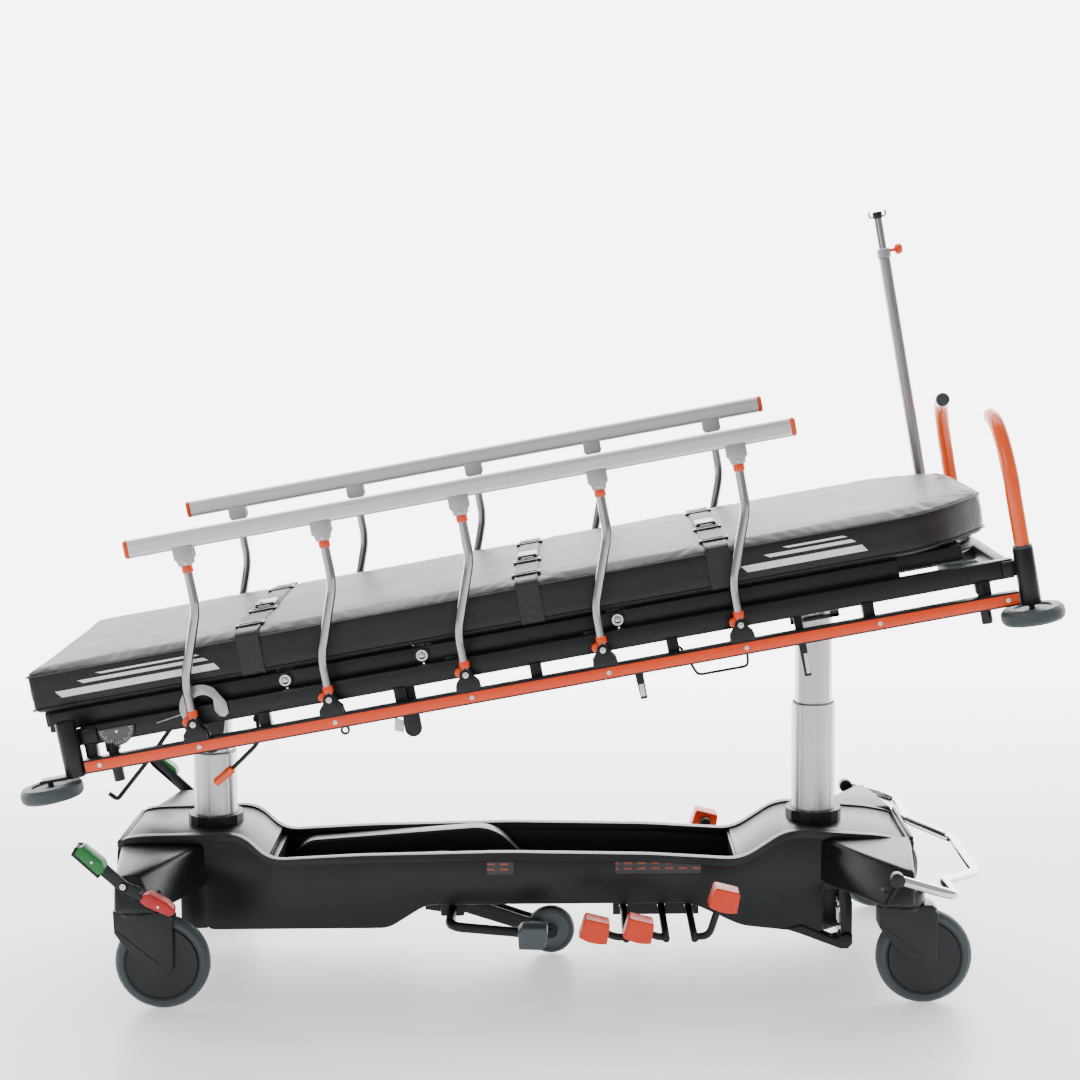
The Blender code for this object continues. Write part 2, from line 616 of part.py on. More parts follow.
def columns():
    """The lifting columns: nested tubes, and the eyes at their tops that carry the platform."""
    first, second, third = STAGE_RADII
    x = FOOT_COLUMN_X
    node(stage(x, first, third + STAGE_GAP, FOOT_COLUMN_FLOOR + 0.004, FOOT_MIDDLE_TOP), "foot_middle_tube",
         "anodised", None, (x, 0, FOOT_MIDDLE_TOP))
    inner = rod((x, 0, FOOT_COLUMN_FLOOR + 0.008), (x, 0, HINGE_Z + 0.055), third, 16)
    pin = rod((x, -0.057, HINGE_Z), (x, 0.057, HINGE_Z), HINGE_PIN_RADIUS, 12)
    node(joined(inner, pin), "foot_inner_tube", "anodised", None, (x, 0, HINGE_Z))
    x = HEAD_COLUMN_X
    node(stage(x, first, second + STAGE_GAP, 0.250, HEAD_MIDDLE_TOP), "head_middle_tube", "anodised", None,
         (x, 0, HEAD_MIDDLE_TOP))
    node(stage(x, second, third + STAGE_GAP, 0.252, HEAD_MIDDLE_TOP - 0.012), "head_ram_tube", "anodised",
         None,
         (x, 0, HEAD_MIDDLE_TOP - 0.012))
    inner = rod((x, 0, 0.430), (x, 0, HEAD_PIN_Z + 0.028), third, 16)
    pin = rod((x, -0.057, HEAD_PIN_Z), (x, 0.057, HEAD_PIN_Z), HEAD_PIN_RADIUS, 12)
    node(joined(inner, pin), "head_inner_tube", "anodised", None, (x, 0, HEAD_PIN_Z))


# ---- platform ------------------------------------------------------------------------------------
PLATFORM = empty("platform_hinge_axis", None, (FOOT_COLUMN_X, 0, HINGE_Z), -PLATFORM_TILT)


def platform_node(piece, name, finish, origin=(0, 0, 0)):
    """A solid drawn in (u, y, w), hung on the platform's axis with its origin at its own joint."""
    to_hinge = Vector((HINGE_U, 0, HINGE_W))
    node(piece, name, finish, PLATFORM, origin)
    piece.location = Vector(origin) - to_hinge


def platform_frame():
    """Side tubes and cross members, corner posts with bumper bolts, column brackets and standoffs."""
    half = FRAME_WIDTH / 2
    pieces = [block((FRAME_FOOT, FRAME_HEAD), mirrored(side, FRAME_Y - half, FRAME_Y + half),
                    (FRAME_LOW, FRAME_TOP))
              for side in (-1, 1)]
    for u in CROSS_MEMBERS:
        pieces.append(block((u - 0.0125, u + 0.0125), (-FRAME_Y, FRAME_Y),
                            (FRAME_LOW + 0.002, FRAME_TOP - 0.006)))
    for side in (-1, 1):
        y = side * POST_CORNER_Y
        for u, bumper_u in ((HEAD_CORNER_U, HEAD_CORNER_U), (FOOT_CORNER_U, FOOT_CORNER_U - BUMPER_OFFSET)):
            pieces.append(rod((u, y, POST_LOW), (u, y, POST_TOP), POST_CORNER_RADIUS, 12))
            pieces.append(rod((bumper_u, y, POST_LOW + 0.003),
                              (bumper_u, y, BUMPER_W - BUMPER_THICK / 2 - 0.006),
                              0.006, 10))
            pieces.append(rod((bumper_u, y, BUMPER_W - BUMPER_THICK / 2 - 0.0012),
                              (bumper_u, y, BUMPER_W - BUMPER_THICK / 2 - 0.008), 0.012, 8))
        pieces.append(block((FOOT_CORNER_U - BUMPER_OFFSET - 0.018, FOOT_CORNER_U), (y - 0.017, y + 0.017),
                            (POST_LOW + 0.0005, POST_LOW + 0.0065)))
        pieces.append(block((FOOT_CORNER_U, FRAME_FOOT + 0.010),
                            mirrored(side, FRAME_Y - half + 0.002, FRAME_Y + 0.020),
                            (FRAME_LOW + 0.003, FRAME_TOP - 0.003)))
        pieces.append(block((FRAME_HEAD - 0.010, HEAD_CORNER_U),
                            mirrored(side, FRAME_Y - half + 0.002, FRAME_Y + 0.020),
                            (FRAME_LOW + 0.003, FRAME_TOP - 0.003)))
        for u in STANDOFFS:
            reach = RAIL_Y - BAR_WIDTH / 2 - CLEAR
            pieces.append(block((u - 0.012, u + 0.012), mirrored(side, FRAME_Y - 0.009, reach),
                                (BAR_LOW + 0.003, FRAME_LOW + 0.004)))
        plan = [(HINGE_U - 0.070, FRAME_LOW + 0.006), (HINGE_U - 0.030, HINGE_W - 0.012)]
        plan += arc((HINGE_U, HINGE_W), 0.026, 200, 340, 5)
        plan += [(HINGE_U + 0.060, FRAME_LOW + 0.006)]
        pieces.append(outline(plan, *mirrored(side, BRACKET_IN, BRACKET_OUT)))
        pieces.append(outline([(SLOT_FOOT - 0.020, FRAME_LOW + 0.006), (SLOT_FOOT - 0.020, SLOT_W - 0.024),
                               (SLOT_HEAD + 0.020, SLOT_W - 0.024), (SLOT_HEAD + 0.020, FRAME_LOW + 0.006)],
                              *mirrored(side, BRACKET_IN, BRACKET_OUT)))
        rib = 0.003
        for low, high in ((HINGE_U - 0.066, -0.193), (HINGE_U + 0.050, 0.345), (SLOT_FOOT - 0.016, 1.168),
                          (SLOT_HEAD + 0.010, 1.702)):
            span = sorted((low, high))
            pieces.append(block(span, mirrored(side, BRACKET_IN + 0.0015, BRACKET_OUT - 0.0015),
                                (FRAME_LOW + rib, FRAME_TOP - 0.008)))
        pieces.append(block((HINGE_U - 0.066, HINGE_U + 0.052),
                            mirrored(side, BRACKET_IN + 0.0012, BRACKET_OUT - 0.0012),
                            (FRAME_LOW + 0.001, FRAME_TOP - 0.010)))
        pieces.append(block((SLOT_FOOT - 0.016, SLOT_HEAD + 0.012),
                            mirrored(side, BRACKET_IN + 0.0012, BRACKET_OUT - 0.0012),
                            (FRAME_LOW + 0.001, FRAME_TOP - 0.010)))
        pieces.append(rod((LATCH_U, side * (FRAME_Y + half - 0.004), LATCH_W),
                          (LATCH_U, side * (RAIL_Y - BAR_WIDTH / 2), LATCH_W), 0.003, 8))
        for u in (THIGH_U + 0.060, BACK_U - 0.060):
            pieces.append(block((u - 0.015, u + 0.015), mirrored(side, 0.262, FRAME_Y - 0.004),
                                (FRAME_LOW + 0.006, DECK_LOW - CLEAR)))
    pieces.append(rod((POLE_U, POLE_Y, FRAME_LOW - 0.030), (POLE_U, POLE_Y, FRAME_TOP), POLE_RADIUS + 0.005,
                      14))
    pieces.append(block((POLE_U - 0.010, POLE_U + 0.010), (POLE_Y + 0.010, FRAME_Y),
                        (FRAME_LOW + 0.004, FRAME_TOP - 0.004)))
    frame = joined(*pieces)
    tools = [rod((HINGE_U, -0.06, HINGE_W), (HINGE_U, 0.06, HINGE_W), HINGE_PIN_RADIUS + RUN_CLEAR, 12)]
    slot = [(SLOT_FOOT, SLOT_W - SLOT_HALF), (SLOT_HEAD, SLOT_W - SLOT_HALF),
            (SLOT_HEAD, SLOT_W + SLOT_HALF),
            (SLOT_FOOT, SLOT_W + SLOT_HALF)]
    tools.append(outline(slot, -0.06, 0.06))
    tools.append(rod((POLE_U, POLE_Y, FRAME_LOW - 0.022), (POLE_U, POLE_Y, 0.08), POLE_RADIUS + CLEAR, 14))
    for side in (-1, 1):
        y = side * POST_CORNER_Y
        tools.append(rod((HEAD_CORNER_U, y, -0.030), (HEAD_CORNER_U, y, 0.08), HANDLE_RADIUS + RUN_CLEAR,
                         14))
    return cut(frame, *tools)


def accessory_rail(side):
    """The long bar with its five post brackets, each with two cheeks and a pin."""
    y = side * RAIL_Y
    half = BAR_WIDTH / 2
    pieces = [block((BAR_FOOT, BAR_HEAD), (y - half, y + half), (BAR_LOW, BAR_TOP))]
    for index in range(POST_COUNT):
        u = index * POST_PITCH
        plan = [(u - 0.026, BAR_TOP - 0.004), (u + 0.026, BAR_TOP - 0.004), (u + 0.013, 0.012),
                (u - 0.013, 0.012)]
        for way in (-1, 1):
            outer = y + way * (half - 0.0002)
            pieces.append(outline(plan, *sorted((outer, outer - way * CHEEK))))
        pieces.append(rod((u, y - half + 0.001, 0), (u, y + half - 0.001, 0), PIN_RADIUS, 8))
    return joined(*pieces)


def siderail_post(side):
    """One S-bent post in rest, its lower pivot at the origin, bored for the pins at both ends."""
    y = side * RAIL_Y
    rises = [-0.012, 0.075, 0.110, 0.145, 0.180, 0.215, 0.245, POST_HEIGHT + 0.011]
    path = [(POST_LEAN * smooth((w - 0.070) / 0.175), y, w) for w in rises]
    post = tube(path, POST_RADIUS)
    low = rod((0, y - 0.02, 0), (0, y + 0.02, 0), EYE_RADIUS, 8)
    high = rod((POST_LEAN, y - 0.02, POST_HEIGHT), (POST_LEAN, y + 0.02, POST_HEIGHT), EYE_RADIUS, 8)
    return cut(post, low, high)


def siderail_top(side):
    """The hand rail over the posts, with a clamp and a pin for each of them."""
    y = side * RAIL_Y
    low = POST_HEIGHT + TOP_RAIL_LOW
    half = TOP_RAIL_WIDTH / 2
    bar = block((TOP_RAIL_FOOT, TOP_RAIL_HEAD), (y - half, y + half), (low, low + TOP_RAIL_HEIGHT))
    soften = bar.modifiers.new("soften", "BEVEL")
    soften.width = 0.006
    soften.segments = 1
    pieces = [bar]
    for index in range(POST_COUNT):
        u = index * POST_PITCH + POST_LEAN
        for way in (-1, 1):
            outer = y + way * (half + 0.0014)
            plan = [(u - 0.012, POST_HEIGHT - 0.010), (u + 0.012, POST_HEIGHT - 0.010),
                    (u + 0.020, low + 0.008), (u - 0.020, low + 0.008)]
            pieces.append(outline(plan, *sorted((outer, outer - way * CHEEK))))
        pieces.append(rod((u, y - half + 0.0005, POST_HEIGHT), (u, y + half - 0.0005, POST_HEIGHT),
                          PIN_RADIUS, 8))
        pieces.append(block((u - 0.017, u + 0.017), (y - half - 0.001, y + half + 0.001),
                            (low - 0.006, low + 0.004)))
    return joined(*pieces)


def siderail_latch(side):
    """The C-shaped release plate between the frame tube and the first post."""
    inner = FRAME_Y + FRAME_WIDTH / 2 + 0.0010
    span = mirrored(side, inner, RAIL_Y - BAR_WIDTH / 2 - 0.0008)
    plan = arc((0.020, 0.030), 0.046, 55, 200, 8) + [(-0.010, 0.014)]
    plan += arc((0.020, 0.030), 0.026, 200, 55, 6)
    plan = [(0.076, 0.018), (0.070, 0.040)] + plan + [(0.040, 0.022), (0.030, 0.000), (0.062, 0.000)]
    plate = outline(plan, *span)
    return cut(plate, rod((LATCH_U, -0.4, LATCH_W), (LATCH_U, 0.4, LATCH_W), 0.0038, 10))


def bumper():
    """A thick roller disc with a bore for its bolt, on the y axis."""
    half = BUMPER_THICK / 2
    bore = 0.006 + RUN_CLEAR
    section = [(bore, half), (BUMPER_RADIUS - 0.008, half), (BUMPER_RADIUS, half - 0.008)]
    section += [(radius, -across) for radius, across in reversed(section)]
    return moved(turned(section, 18), Matrix.Rotation(math.pi / 2, 4, "X"))


def push_handle(side):
    """An orange tube that stands in the corner post and bends inwards at the top."""
    y = side * POST_CORNER_Y
    path = [(HEAD_CORNER_U, y, -0.028), (HEAD_CORNER_U, y, 0.150)]
    centre_y = side * (POST_CORNER_Y - HANDLE_BEND)
    rise = HANDLE_HEIGHT - 0.165
    for step in range(1, 7):
        angle = math.radians(90 * step / 7)
        path.append((HEAD_CORNER_U - 0.004 * step / 6, centre_y + side * HANDLE_BEND * math.cos(angle),
                     0.165 + rise * math.sin(angle)))
    path.append((HEAD_CORNER_U - 0.004, centre_y - side * 0.012, HANDLE_HEIGHT + 0.002))
    return tube(path, HANDLE_RADIUS, 2)


def deck_section(foot, head, half_width, pins, eyes, side_span):
    """A deck panel between two side flats; pins and eyes are the pivots on its flats."""
    panel = block((foot + (0.018 if foot in pins + eyes else 0),
                   head - (0.018 if head in pins + eyes else 0)),
                  (-half_width, half_width), (DECK_TOP - DECK_PANEL, DECK_TOP))
    pieces = [panel]
    for side in (-1, 1):
        span = mirrored(side, *side_span)
        plan = []
        if head in pins + eyes:
            plan += arc((head, DECK_PIVOT_W), HINGE_RADIUS, -90, 90, 4)
        else:
            plan += [(head, DECK_LOW), (head, DECK_TOP - 0.001)]
        if foot in pins + eyes:
            plan += arc((foot, DECK_PIVOT_W), HINGE_RADIUS, 90, 270, 4)
        else:
            plan += [(foot, DECK_TOP - 0.001), (foot, DECK_LOW)]
        pieces.append(outline(plan, *span))
        for u in pins:
            pieces.append(rod((u, side * (side_span[0] - 0.012), DECK_PIVOT_W),
                              (u, side * (side_span[1] - 0.001), DECK_PIVOT_W),
                              HINGE_PIN, 8))
        for u in (foot + 0.070, head - 0.070):
            pieces.append(block((u - 0.012, u + 0.012), mirrored(side, 0.10, side_span[0] + 0.003),
                                (DECK_LOW + 0.004, DECK_TOP - 0.006)))
    section = joined(*pieces)
    tools = [rod((u, -0.4, DECK_PIVOT_W), (u, 0.4, DECK_PIVOT_W), HINGE_PIN + RUN_CLEAR, 8) for u in eyes]
    return cut(section, *tools) if tools else section


def mattress_block(foot, head, foot_angle, head_angle, rounded=False):
    """One section of the mattress; the angles slope its ends away from the deck's pivots."""
    low, top = MATTRESS_LOW, MATTRESS_LOW + MATTRESS_THICK

    def face(u, angle, w):
        return u + (w - DECK_PIVOT_W) * math.tan(angle)

    width = MATTRESS_HALF_WIDTH
    solid = outline([(face(foot, foot_angle, low), low), (face(head, -head_angle, low), low),
                     (face(head, -head_angle, top), top), (face(foot, foot_angle, top),
                                                           top)], -width, width)
    if rounded:
        for side in (-1, 1):
            chop = block((0, 0.4), (0, 0.4), (low - 0.05, top + 0.05))
            chop.data.transform(Matrix.Rotation(math.radians(42) * -1, 4, "Z"))
            chop.data.transform(Matrix.Translation((MATTRESS_CORNER_U, width, 0)))
            if side < 0:
                chop.data.transform(Matrix.Diagonal((1, -1, 1, 1)))
                chop.data.flip_normals()
            solid = cut(solid, chop)
    return solid


def build_base():
    """The wheeled base, its pedals and its columns."""
    node(base_cover(), "base_cover", "moulded_black")
    node(chassis(), "chassis", "powder_black")
    cradle_foot, cradle_head = TRAY_FOOT + 0.060, TRAY_FOOT + 0.560
    cradle = block((cradle_foot, cradle_head), (-0.050, 0.100), (TRAY_FLOOR + CLEAR, TRAY_FLOOR + 0.062))
    cradle = cut(cradle, rod((cradle_foot + 0.02, 0.025, TRAY_FLOOR + 0.072),
                             (cradle_head - 0.02, 0.025, TRAY_FLOOR + 0.072),
                             0.058, 16))
    node(cradle, "bottle_cradle", "moulded_black")
    for stem_x, end in ((FOOT_STEM_X, "foot"), (HEAD_STEM_X, "head")):
        for side, label in ((-1, "left"), (1, "right")):
            caster(stem_x, side, f"{end}_{label}")
    fifth_wheel()
    names = ("foot_pump_pedal", "release_pedal", "head_pump_pedal")
    for name, shaft, pad in zip(names, PUMP_SHAFTS, PEDAL_PADS):
        node(foot_pedal(shaft, pad), name, "orange", None, (shaft[0], 0, shaft[1]))
    node(brake_pedals(), "brake_pedals", "powder_black", None, (BRAKE_X, 0, BRAKE_Z))
    node(brake_bar(), "brake_bar", "chrome", None, (BRAKE_BAR_X, 0, BRAKE_BAR_Z))
    columns()


def build_platform():
    """The tilting frame with its rails, handles and bumpers."""
    platform_node(platform_frame(), "platform_frame", "powder_black")
    for side, label in ((-1, "left"), (1, "right")):
        y = side * RAIL_Y
        platform_node(accessory_rail(side), f"accessory_rail_{label}", "orange")
        for index in range(POST_COUNT):
            post = moved(siderail_post(side), Matrix.Translation((index * POST_PITCH, 0, 0)))
            platform_node(post, f"siderail_post_{label}_{index + 1}", "stainless",
                          (index * POST_PITCH, y, 0))
        platform_node(siderail_top(side), f"siderail_top_{label}", "anodised", (POST_LEAN, y, POST_HEIGHT))
        platform_node(siderail_latch(side), f"siderail_latch_{label}", "anodised", (LATCH_U, y, LATCH_W))
        platform_node(push_handle(side), f"push_handle_{label}", "orange",
                      (HEAD_CORNER_U, side * POST_CORNER_Y, 0))
        for end, u in (("head", HEAD_CORNER_U), ("foot", FOOT_CORNER_U - BUMPER_OFFSET)):
            place = (u, side * POST_CORNER_Y, BUMPER_W)
            platform_node(moved(bumper(), Matrix.Translation(place)), f"bumper_{end}_{label}",
                          "grey_rubber", place)
    build_deck()
    build_pole()
    build_lever()


def build_deck():
    """The four deck sections and the mattress on them."""
    outer_flat = (DECK_HALF_WIDTH - FLAT, DECK_HALF_WIDTH)
    inner_flat = (DECK_HALF_WIDTH - 2 * FLAT - CLEAR, DECK_HALF_WIDTH - FLAT - CLEAR)
    wide = DECK_HALF_WIDTH - 0.003
    narrow = DECK_HALF_WIDTH - FLAT - CLEAR - 0.003
    pivot = DECK_PIVOT_W
    leg = deck_section(DECK_FOOT, KNEE_U, wide, (KNEE_U,), (), outer_flat)
    platform_node(leg, "leg_section", "powder_black", (KNEE_U, 0, pivot))
    thigh = deck_section(KNEE_U, THIGH_U, narrow, (), (KNEE_U, THIGH_U), inner_flat)
    platform_node(thigh, "thigh_section", "powder_black", (THIGH_U, 0, pivot))
    seat = deck_section(THIGH_U, BACK_U, wide, (THIGH_U, BACK_U), (), outer_flat)
    platform_node(seat, "seat_section", "powder_black")
    back = deck_section(BACK_U, DECK_HEAD, narrow, (), (BACK_U,), inner_flat)
    platform_node(back, "back_section", "powder_black", (BACK_U, 0, pivot))
    back_half, thigh_half = BACK_RISE / 2, THIGH_RISE / 2
    blocks = (("leg", MATTRESS_FOOT, KNEE_U - CLEAR, 0, 0, KNEE_U),
              ("thigh", KNEE_U, THIGH_U - CLEAR, 0, thigh_half, THIGH_U),
              ("seat", THIGH_U, BACK_U - 0.001, thigh_half, back_half, THIGH_U),
              ("back", BACK_U, MATTRESS_HEAD, back_half, 0, BACK_U))
    for name, foot, head, foot_angle, head_angle, hinge_u in blocks:
        solid = mattress_block(foot, head, foot_angle, head_angle, name == "back")
        platform_node(solid, f"mattress_{name}", "mattress_fabric", (hinge_u, 0, pivot))


def build_pole():
    """The infusion pole with its sliding rod and knob."""
    y = POLE_Y
    outer = rod((POLE_U, y, FRAME_LOW - 0.020), (POLE_U, y, POLE_TOP), POLE_RADIUS, 14)
    outer = joined(outer, rod((POLE_U, y, POLE_TOP - 0.030), (POLE_U, y, POLE_TOP + 0.001),
                              POLE_RADIUS + 0.003, 14))
    knob_w = POLE_TOP - 0.015
    outer = cut(outer, rod((POLE_U, y, 0.10), (POLE_U, y, POLE_TOP + 0.01), ROD_RADIUS + CLEAR, 14),
                rod((POLE_U, y, knob_w), (POLE_U + 0.03, y, knob_w), 0.0045, 10))
    platform_node(outer, "pole_outer_tube", "stainless", (POLE_U, y, 0))
    slide = rod((POLE_U, y, 0.110), (POLE_U, y, ROD_TOP), ROD_RADIUS, 14)
    hook = rod((POLE_U - 0.034, y, ROD_TOP - 0.014), (POLE_U + 0.034, y, ROD_TOP - 0.014), 0.004, 8)
    tips = [rod((POLE_U + way * 0.029, y, ROD_TOP - 0.0145), (POLE_U + way * 0.029, y, ROD_TOP + 0.004),
                0.0033, 8)
            for way in (-1, 1)]
    platform_node(joined(slide, hook, *tips), "pole_rod", "stainless", (POLE_U, y, ROD_TOP))
    screw_start = POLE_U + ROD_RADIUS + CLEAR
    stem = rod((screw_start, y, knob_w), (POLE_U + 0.030, y, knob_w), 0.0037, 10)
    wing = rod((POLE_U + 0.026, y, knob_w), (POLE_U + 0.044, y, knob_w), 0.013, 10)
    platform_node(joined(stem, wing), "pole_knob", "orange", (POLE_U, y, knob_w))


def build_lever():
    """The release lever with its orange grip, hung under the side tube, and the angle dial."""
    y = -0.295
    top = (0.118, y, FRAME_LOW - 0.014)
    pieces = [rod((0.118, y - 0.010, top[2]), (0.118, y + 0.010, top[2]), 0.008, 10),
              tube([top, (0.112, y, -0.075), (0.045, y, -0.121), (0.005, y, -0.144)], 0.0045),
              rod((0.045, y, -0.121), (0.003, y, -0.1452), 0.009, 10)]
    platform_node(joined(*pieces), "release_lever", "orange", top)
    dial = outline(arc((-0.164, 0.018), 0.038, 180, 360, 8),
                   -FRAME_Y - FRAME_WIDTH / 2 - 0.0045, -FRAME_Y - FRAME_WIDTH / 2 - CLEAR)
    platform_node(dial, "angle_dial", "moulded_black")


build_base()
build_platform()
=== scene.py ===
import math

import bmesh
import bpy
from mathutils import Matrix, Vector, noise


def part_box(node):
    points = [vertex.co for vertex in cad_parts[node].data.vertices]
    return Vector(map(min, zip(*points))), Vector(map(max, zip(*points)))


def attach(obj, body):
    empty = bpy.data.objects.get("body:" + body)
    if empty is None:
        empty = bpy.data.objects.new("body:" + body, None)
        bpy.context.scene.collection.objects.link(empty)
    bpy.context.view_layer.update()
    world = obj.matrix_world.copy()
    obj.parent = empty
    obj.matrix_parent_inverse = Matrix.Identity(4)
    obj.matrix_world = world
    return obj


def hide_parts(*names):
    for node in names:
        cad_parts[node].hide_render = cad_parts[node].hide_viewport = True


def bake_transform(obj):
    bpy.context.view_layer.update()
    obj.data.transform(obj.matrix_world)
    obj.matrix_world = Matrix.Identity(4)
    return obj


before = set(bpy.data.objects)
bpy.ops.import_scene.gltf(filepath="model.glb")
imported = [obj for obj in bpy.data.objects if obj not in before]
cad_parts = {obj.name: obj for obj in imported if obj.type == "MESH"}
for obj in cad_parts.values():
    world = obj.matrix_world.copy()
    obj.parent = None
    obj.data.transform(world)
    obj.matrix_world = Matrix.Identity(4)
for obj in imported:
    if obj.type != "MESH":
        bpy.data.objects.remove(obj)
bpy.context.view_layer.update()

# ---- places that the frame's own design gives ----------------------------------------------------
TILT = math.radians(9.91)
HINGE = Vector((-0.729, 0, 0.505))
HINGE_U, HINGE_W = -0.039, -0.102
FOOT_X, HEAD_X = -0.729, 0.604
FOOT_STEM_X, HEAD_STEM_X = -0.841, 0.749
CASTER_Y, TRAIL, WHEEL_R = 0.335, 0.047, 0.100
RAIL_Y, PITCH, POSTS = 0.362, 0.2842, 5
LEAN, RISE = 0.0522, 0.3238
CORNER_Y, HEAD_CORNER_U, FOOT_CORNER_U = 0.365, 1.724, -0.260
BRAKE = (-0.859, 0.279)
BRAKE_BAR = (0.730, 0.281)
GREEN_SLOPE, RED_SLOPE = math.radians(42), math.radians(26)
PUMP_SHAFTS = ((0.178, 0.126), (0.262, 0.126), (0.322, 0.126))
PEDAL_PADS = ((0.112, 0.158), (0.204, 0.158), (0.383, 0.222))
FIFTH_WHEEL, FIFTH_PIVOT = (0.016, 0.056), (-0.200, 0.128)
OUTER_STAGE, RAM_STAGE, INNER_STAGE = 0.048, 0.045, 0.041
CROSS_MEMBERS = (-0.205, 0.330, 0.800, 1.180, 1.690)
STANDOFFS = (-0.224, 0.142, 0.426, 0.710, 0.995, 1.400, 1.640)
FRAME_FOOT, FRAME_HEAD = -0.240, 1.705
BUMPER_OFFSET, BUMPER_W = 0.056, -0.086
POLE_U, POLE_Y, ROD_TOP = 1.645, 0.306, 0.767
DECK_PIVOT_W = 0.051
KNEE_U, THIGH_U, BACK_U = 0.195, 0.483, 0.893
SIDES = ((-1, "left"), (1, "right"))
TO_PLATFORM = (Matrix.Translation(HINGE) @ Matrix.Rotation(-TILT, 4, "Y")
               @ Matrix.Translation((-HINGE_U, 0, -HINGE_W)))


# ---- camera, floor and light ---------------------------------------------------------------------
CAMERA_PLACE, CAMERA_TURN, CAMERA_LENS = (0.0563, -4.6047, 1.5269), (-0.6736, 7.2829, -0.6627), 70.38


def aim_camera():
    """A long lens at the left side, level with the siderail and looking slightly down."""
    yaw, pitch, roll = (math.radians(a) for a in CAMERA_TURN)
    ahead = Vector((math.sin(yaw) * math.cos(pitch), math.cos(yaw) * math.cos(pitch), -math.sin(pitch)))
    level = Vector((math.cos(yaw), -math.sin(yaw), 0))
    above = level.cross(ahead)
    right = math.cos(roll) * level + math.sin(roll) * above
    up = math.cos(roll) * above - math.sin(roll) * level
    data = bpy.data.cameras.new("studio_camera")
    data.lens = CAMERA_LENS
    data.sensor_width = 36.0
    camera = bpy.data.objects.new("studio_camera", data)
    bpy.context.scene.collection.objects.link(camera)
    turn = Matrix((right, up, -ahead)).transposed().to_4x4()
    camera.matrix_world = Matrix.Translation(CAMERA_PLACE) @ turn
    bpy.context.scene.camera = camera


def area_light(name, place, target, size, power):
    """One soft rectangular lamp aimed at a point."""
    data = bpy.data.lights.new(name, "AREA")
    data.shape = "RECTANGLE"
    data.size, data.size_y = size
    data.energy = power
    light = bpy.data.objects.new(name, data)
    bpy.context.scene.collection.objects.link(light)
    aim = (Vector(target) - Vector(place)).to_track_quat("-Z", "Y")
    light.matrix_world = Matrix.Translation(place) @ aim.to_matrix().to_4x4()


def light_studio():
    """An even white surround with a soft lamp above, one in front and one behind."""
    world = bpy.data.worlds.new("studio")
    bpy.context.scene.world = world
    world.use_nodes = True
    world.node_tree.nodes["Background"].inputs["Color"].default_value = (1.0, 1.0, 1.0, 1)
    world.node_tree.nodes["Background"].inputs["Strength"].default_value = 0.55
    area_light("overhead", (0.0, 0.4, 4.2), (0, 0, 0.5), (5.0, 2.6), 120)
    area_light("front_soft", (-2.6, -4.6, 2.6), (0, 0, 0.6), (1.0, 2.4), 34)
    area_light("far_top", (1.4, 3.6, 2.6), (0.2, 0, 0.7), (4.0, 1.2), 60)


# ---- shader maths --------------------------------------------------------------------------------
class Wire:
    """A node socket whose operators add Math nodes to its tree."""

    def __init__(self, paint, socket):
        self.paint, self.socket = paint, socket

    def maths(self, operation, first, second=None):
        values = {index: value for index, value in enumerate((first, second)) if value is not None}
        return self.paint.add("ShaderNodeMath", {"operation": operation}, values)

    def __add__(self, other):
        return self.maths("ADD", self, other)

    def __sub__(self, other):
        return self.maths("SUBTRACT", self, other)

    def __mul__(self, other):
        return self.maths("MULTIPLY", self, other)

    def __gt__(self, other):
        return self.maths("GREATER_THAN", self, other)

    def sine(self):
        return self.maths("SINE", self)


class Paint:
    """One material under construction."""

    def __init__(self, name, **fixed):
        self.material = bpy.data.materials.new(name)
        self.material.use_nodes = True
        self.tree = self.material.node_tree
        self.shader = self.tree.nodes["Principled BSDF"]
        for socket, value in fixed.items():
            self.shader.inputs[socket.replace("_", " ")].default_value = value
        self.object_place = self.add("ShaderNodeTexCoord", {}, {}, "Object")

    def add(self, kind, settings, values, output=0):
        """Adds a node, with its settings, its linked or fixed inputs, and the output to carry on from."""
        made = self.tree.nodes.new(kind)
        for key, value in settings.items():
            if key == "stops":
                self.set_stops(made, value)
            else:
                setattr(made, key, value)
        for socket, value in values.items():
            if isinstance(value, Wire):
                self.tree.links.new(value.socket, made.inputs[socket])
            else:
                made.inputs[socket].default_value = value
        return Wire(self, made.outputs[output])

    @staticmethod
    def set_stops(ramp, stops):
        ramp.color_ramp.elements[0].position, ramp.color_ramp.elements[0].color = stops[0]
        ramp.color_ramp.elements[1].position, ramp.color_ramp.elements[1].color = stops[-1]
        for position, colour in stops[1:-1]:
            ramp.color_ramp.elements.new(position).color = colour

    def noise(self, scale, detail=3.0, roughness=0.55, at=None):
        return self.add("ShaderNodeTexNoise", {}, {"Vector": at or self.object_place, "Scale": scale,
                                                   "Detail": detail, "Roughness": roughness}, 0)

    def stretched(self, scale):
        return self.add("ShaderNodeMapping", {}, {"Vector": self.object_place, "Scale": scale})

    def axis(self, name):
        return self.add("ShaderNodeSeparateXYZ", {}, {0: self.object_place}, name)

    def mix(self, factor, first, second):
        """A colour between two others."""
        return self.add("ShaderNodeMix", {"data_type": "RGBA"}, {0: factor, 6: first, 7: second}, 2)

    def ramp(self, value, *stops):
        return self.add("ShaderNodeValToRGB", {"stops": stops}, {0: value})

    def bump(self, height, strength, distance=0.001):
        normal = self.add("ShaderNodeBump", {}, {"Height": height, "Strength": strength,
                "Distance": distance})
        self.set(Normal=normal)

    def set(self, **links):
        """Links wires to the shader's named sockets."""
        for socket, wire in links.items():
            self.tree.links.new(wire.socket, self.shader.inputs[socket.replace("_", " ")])
        return self


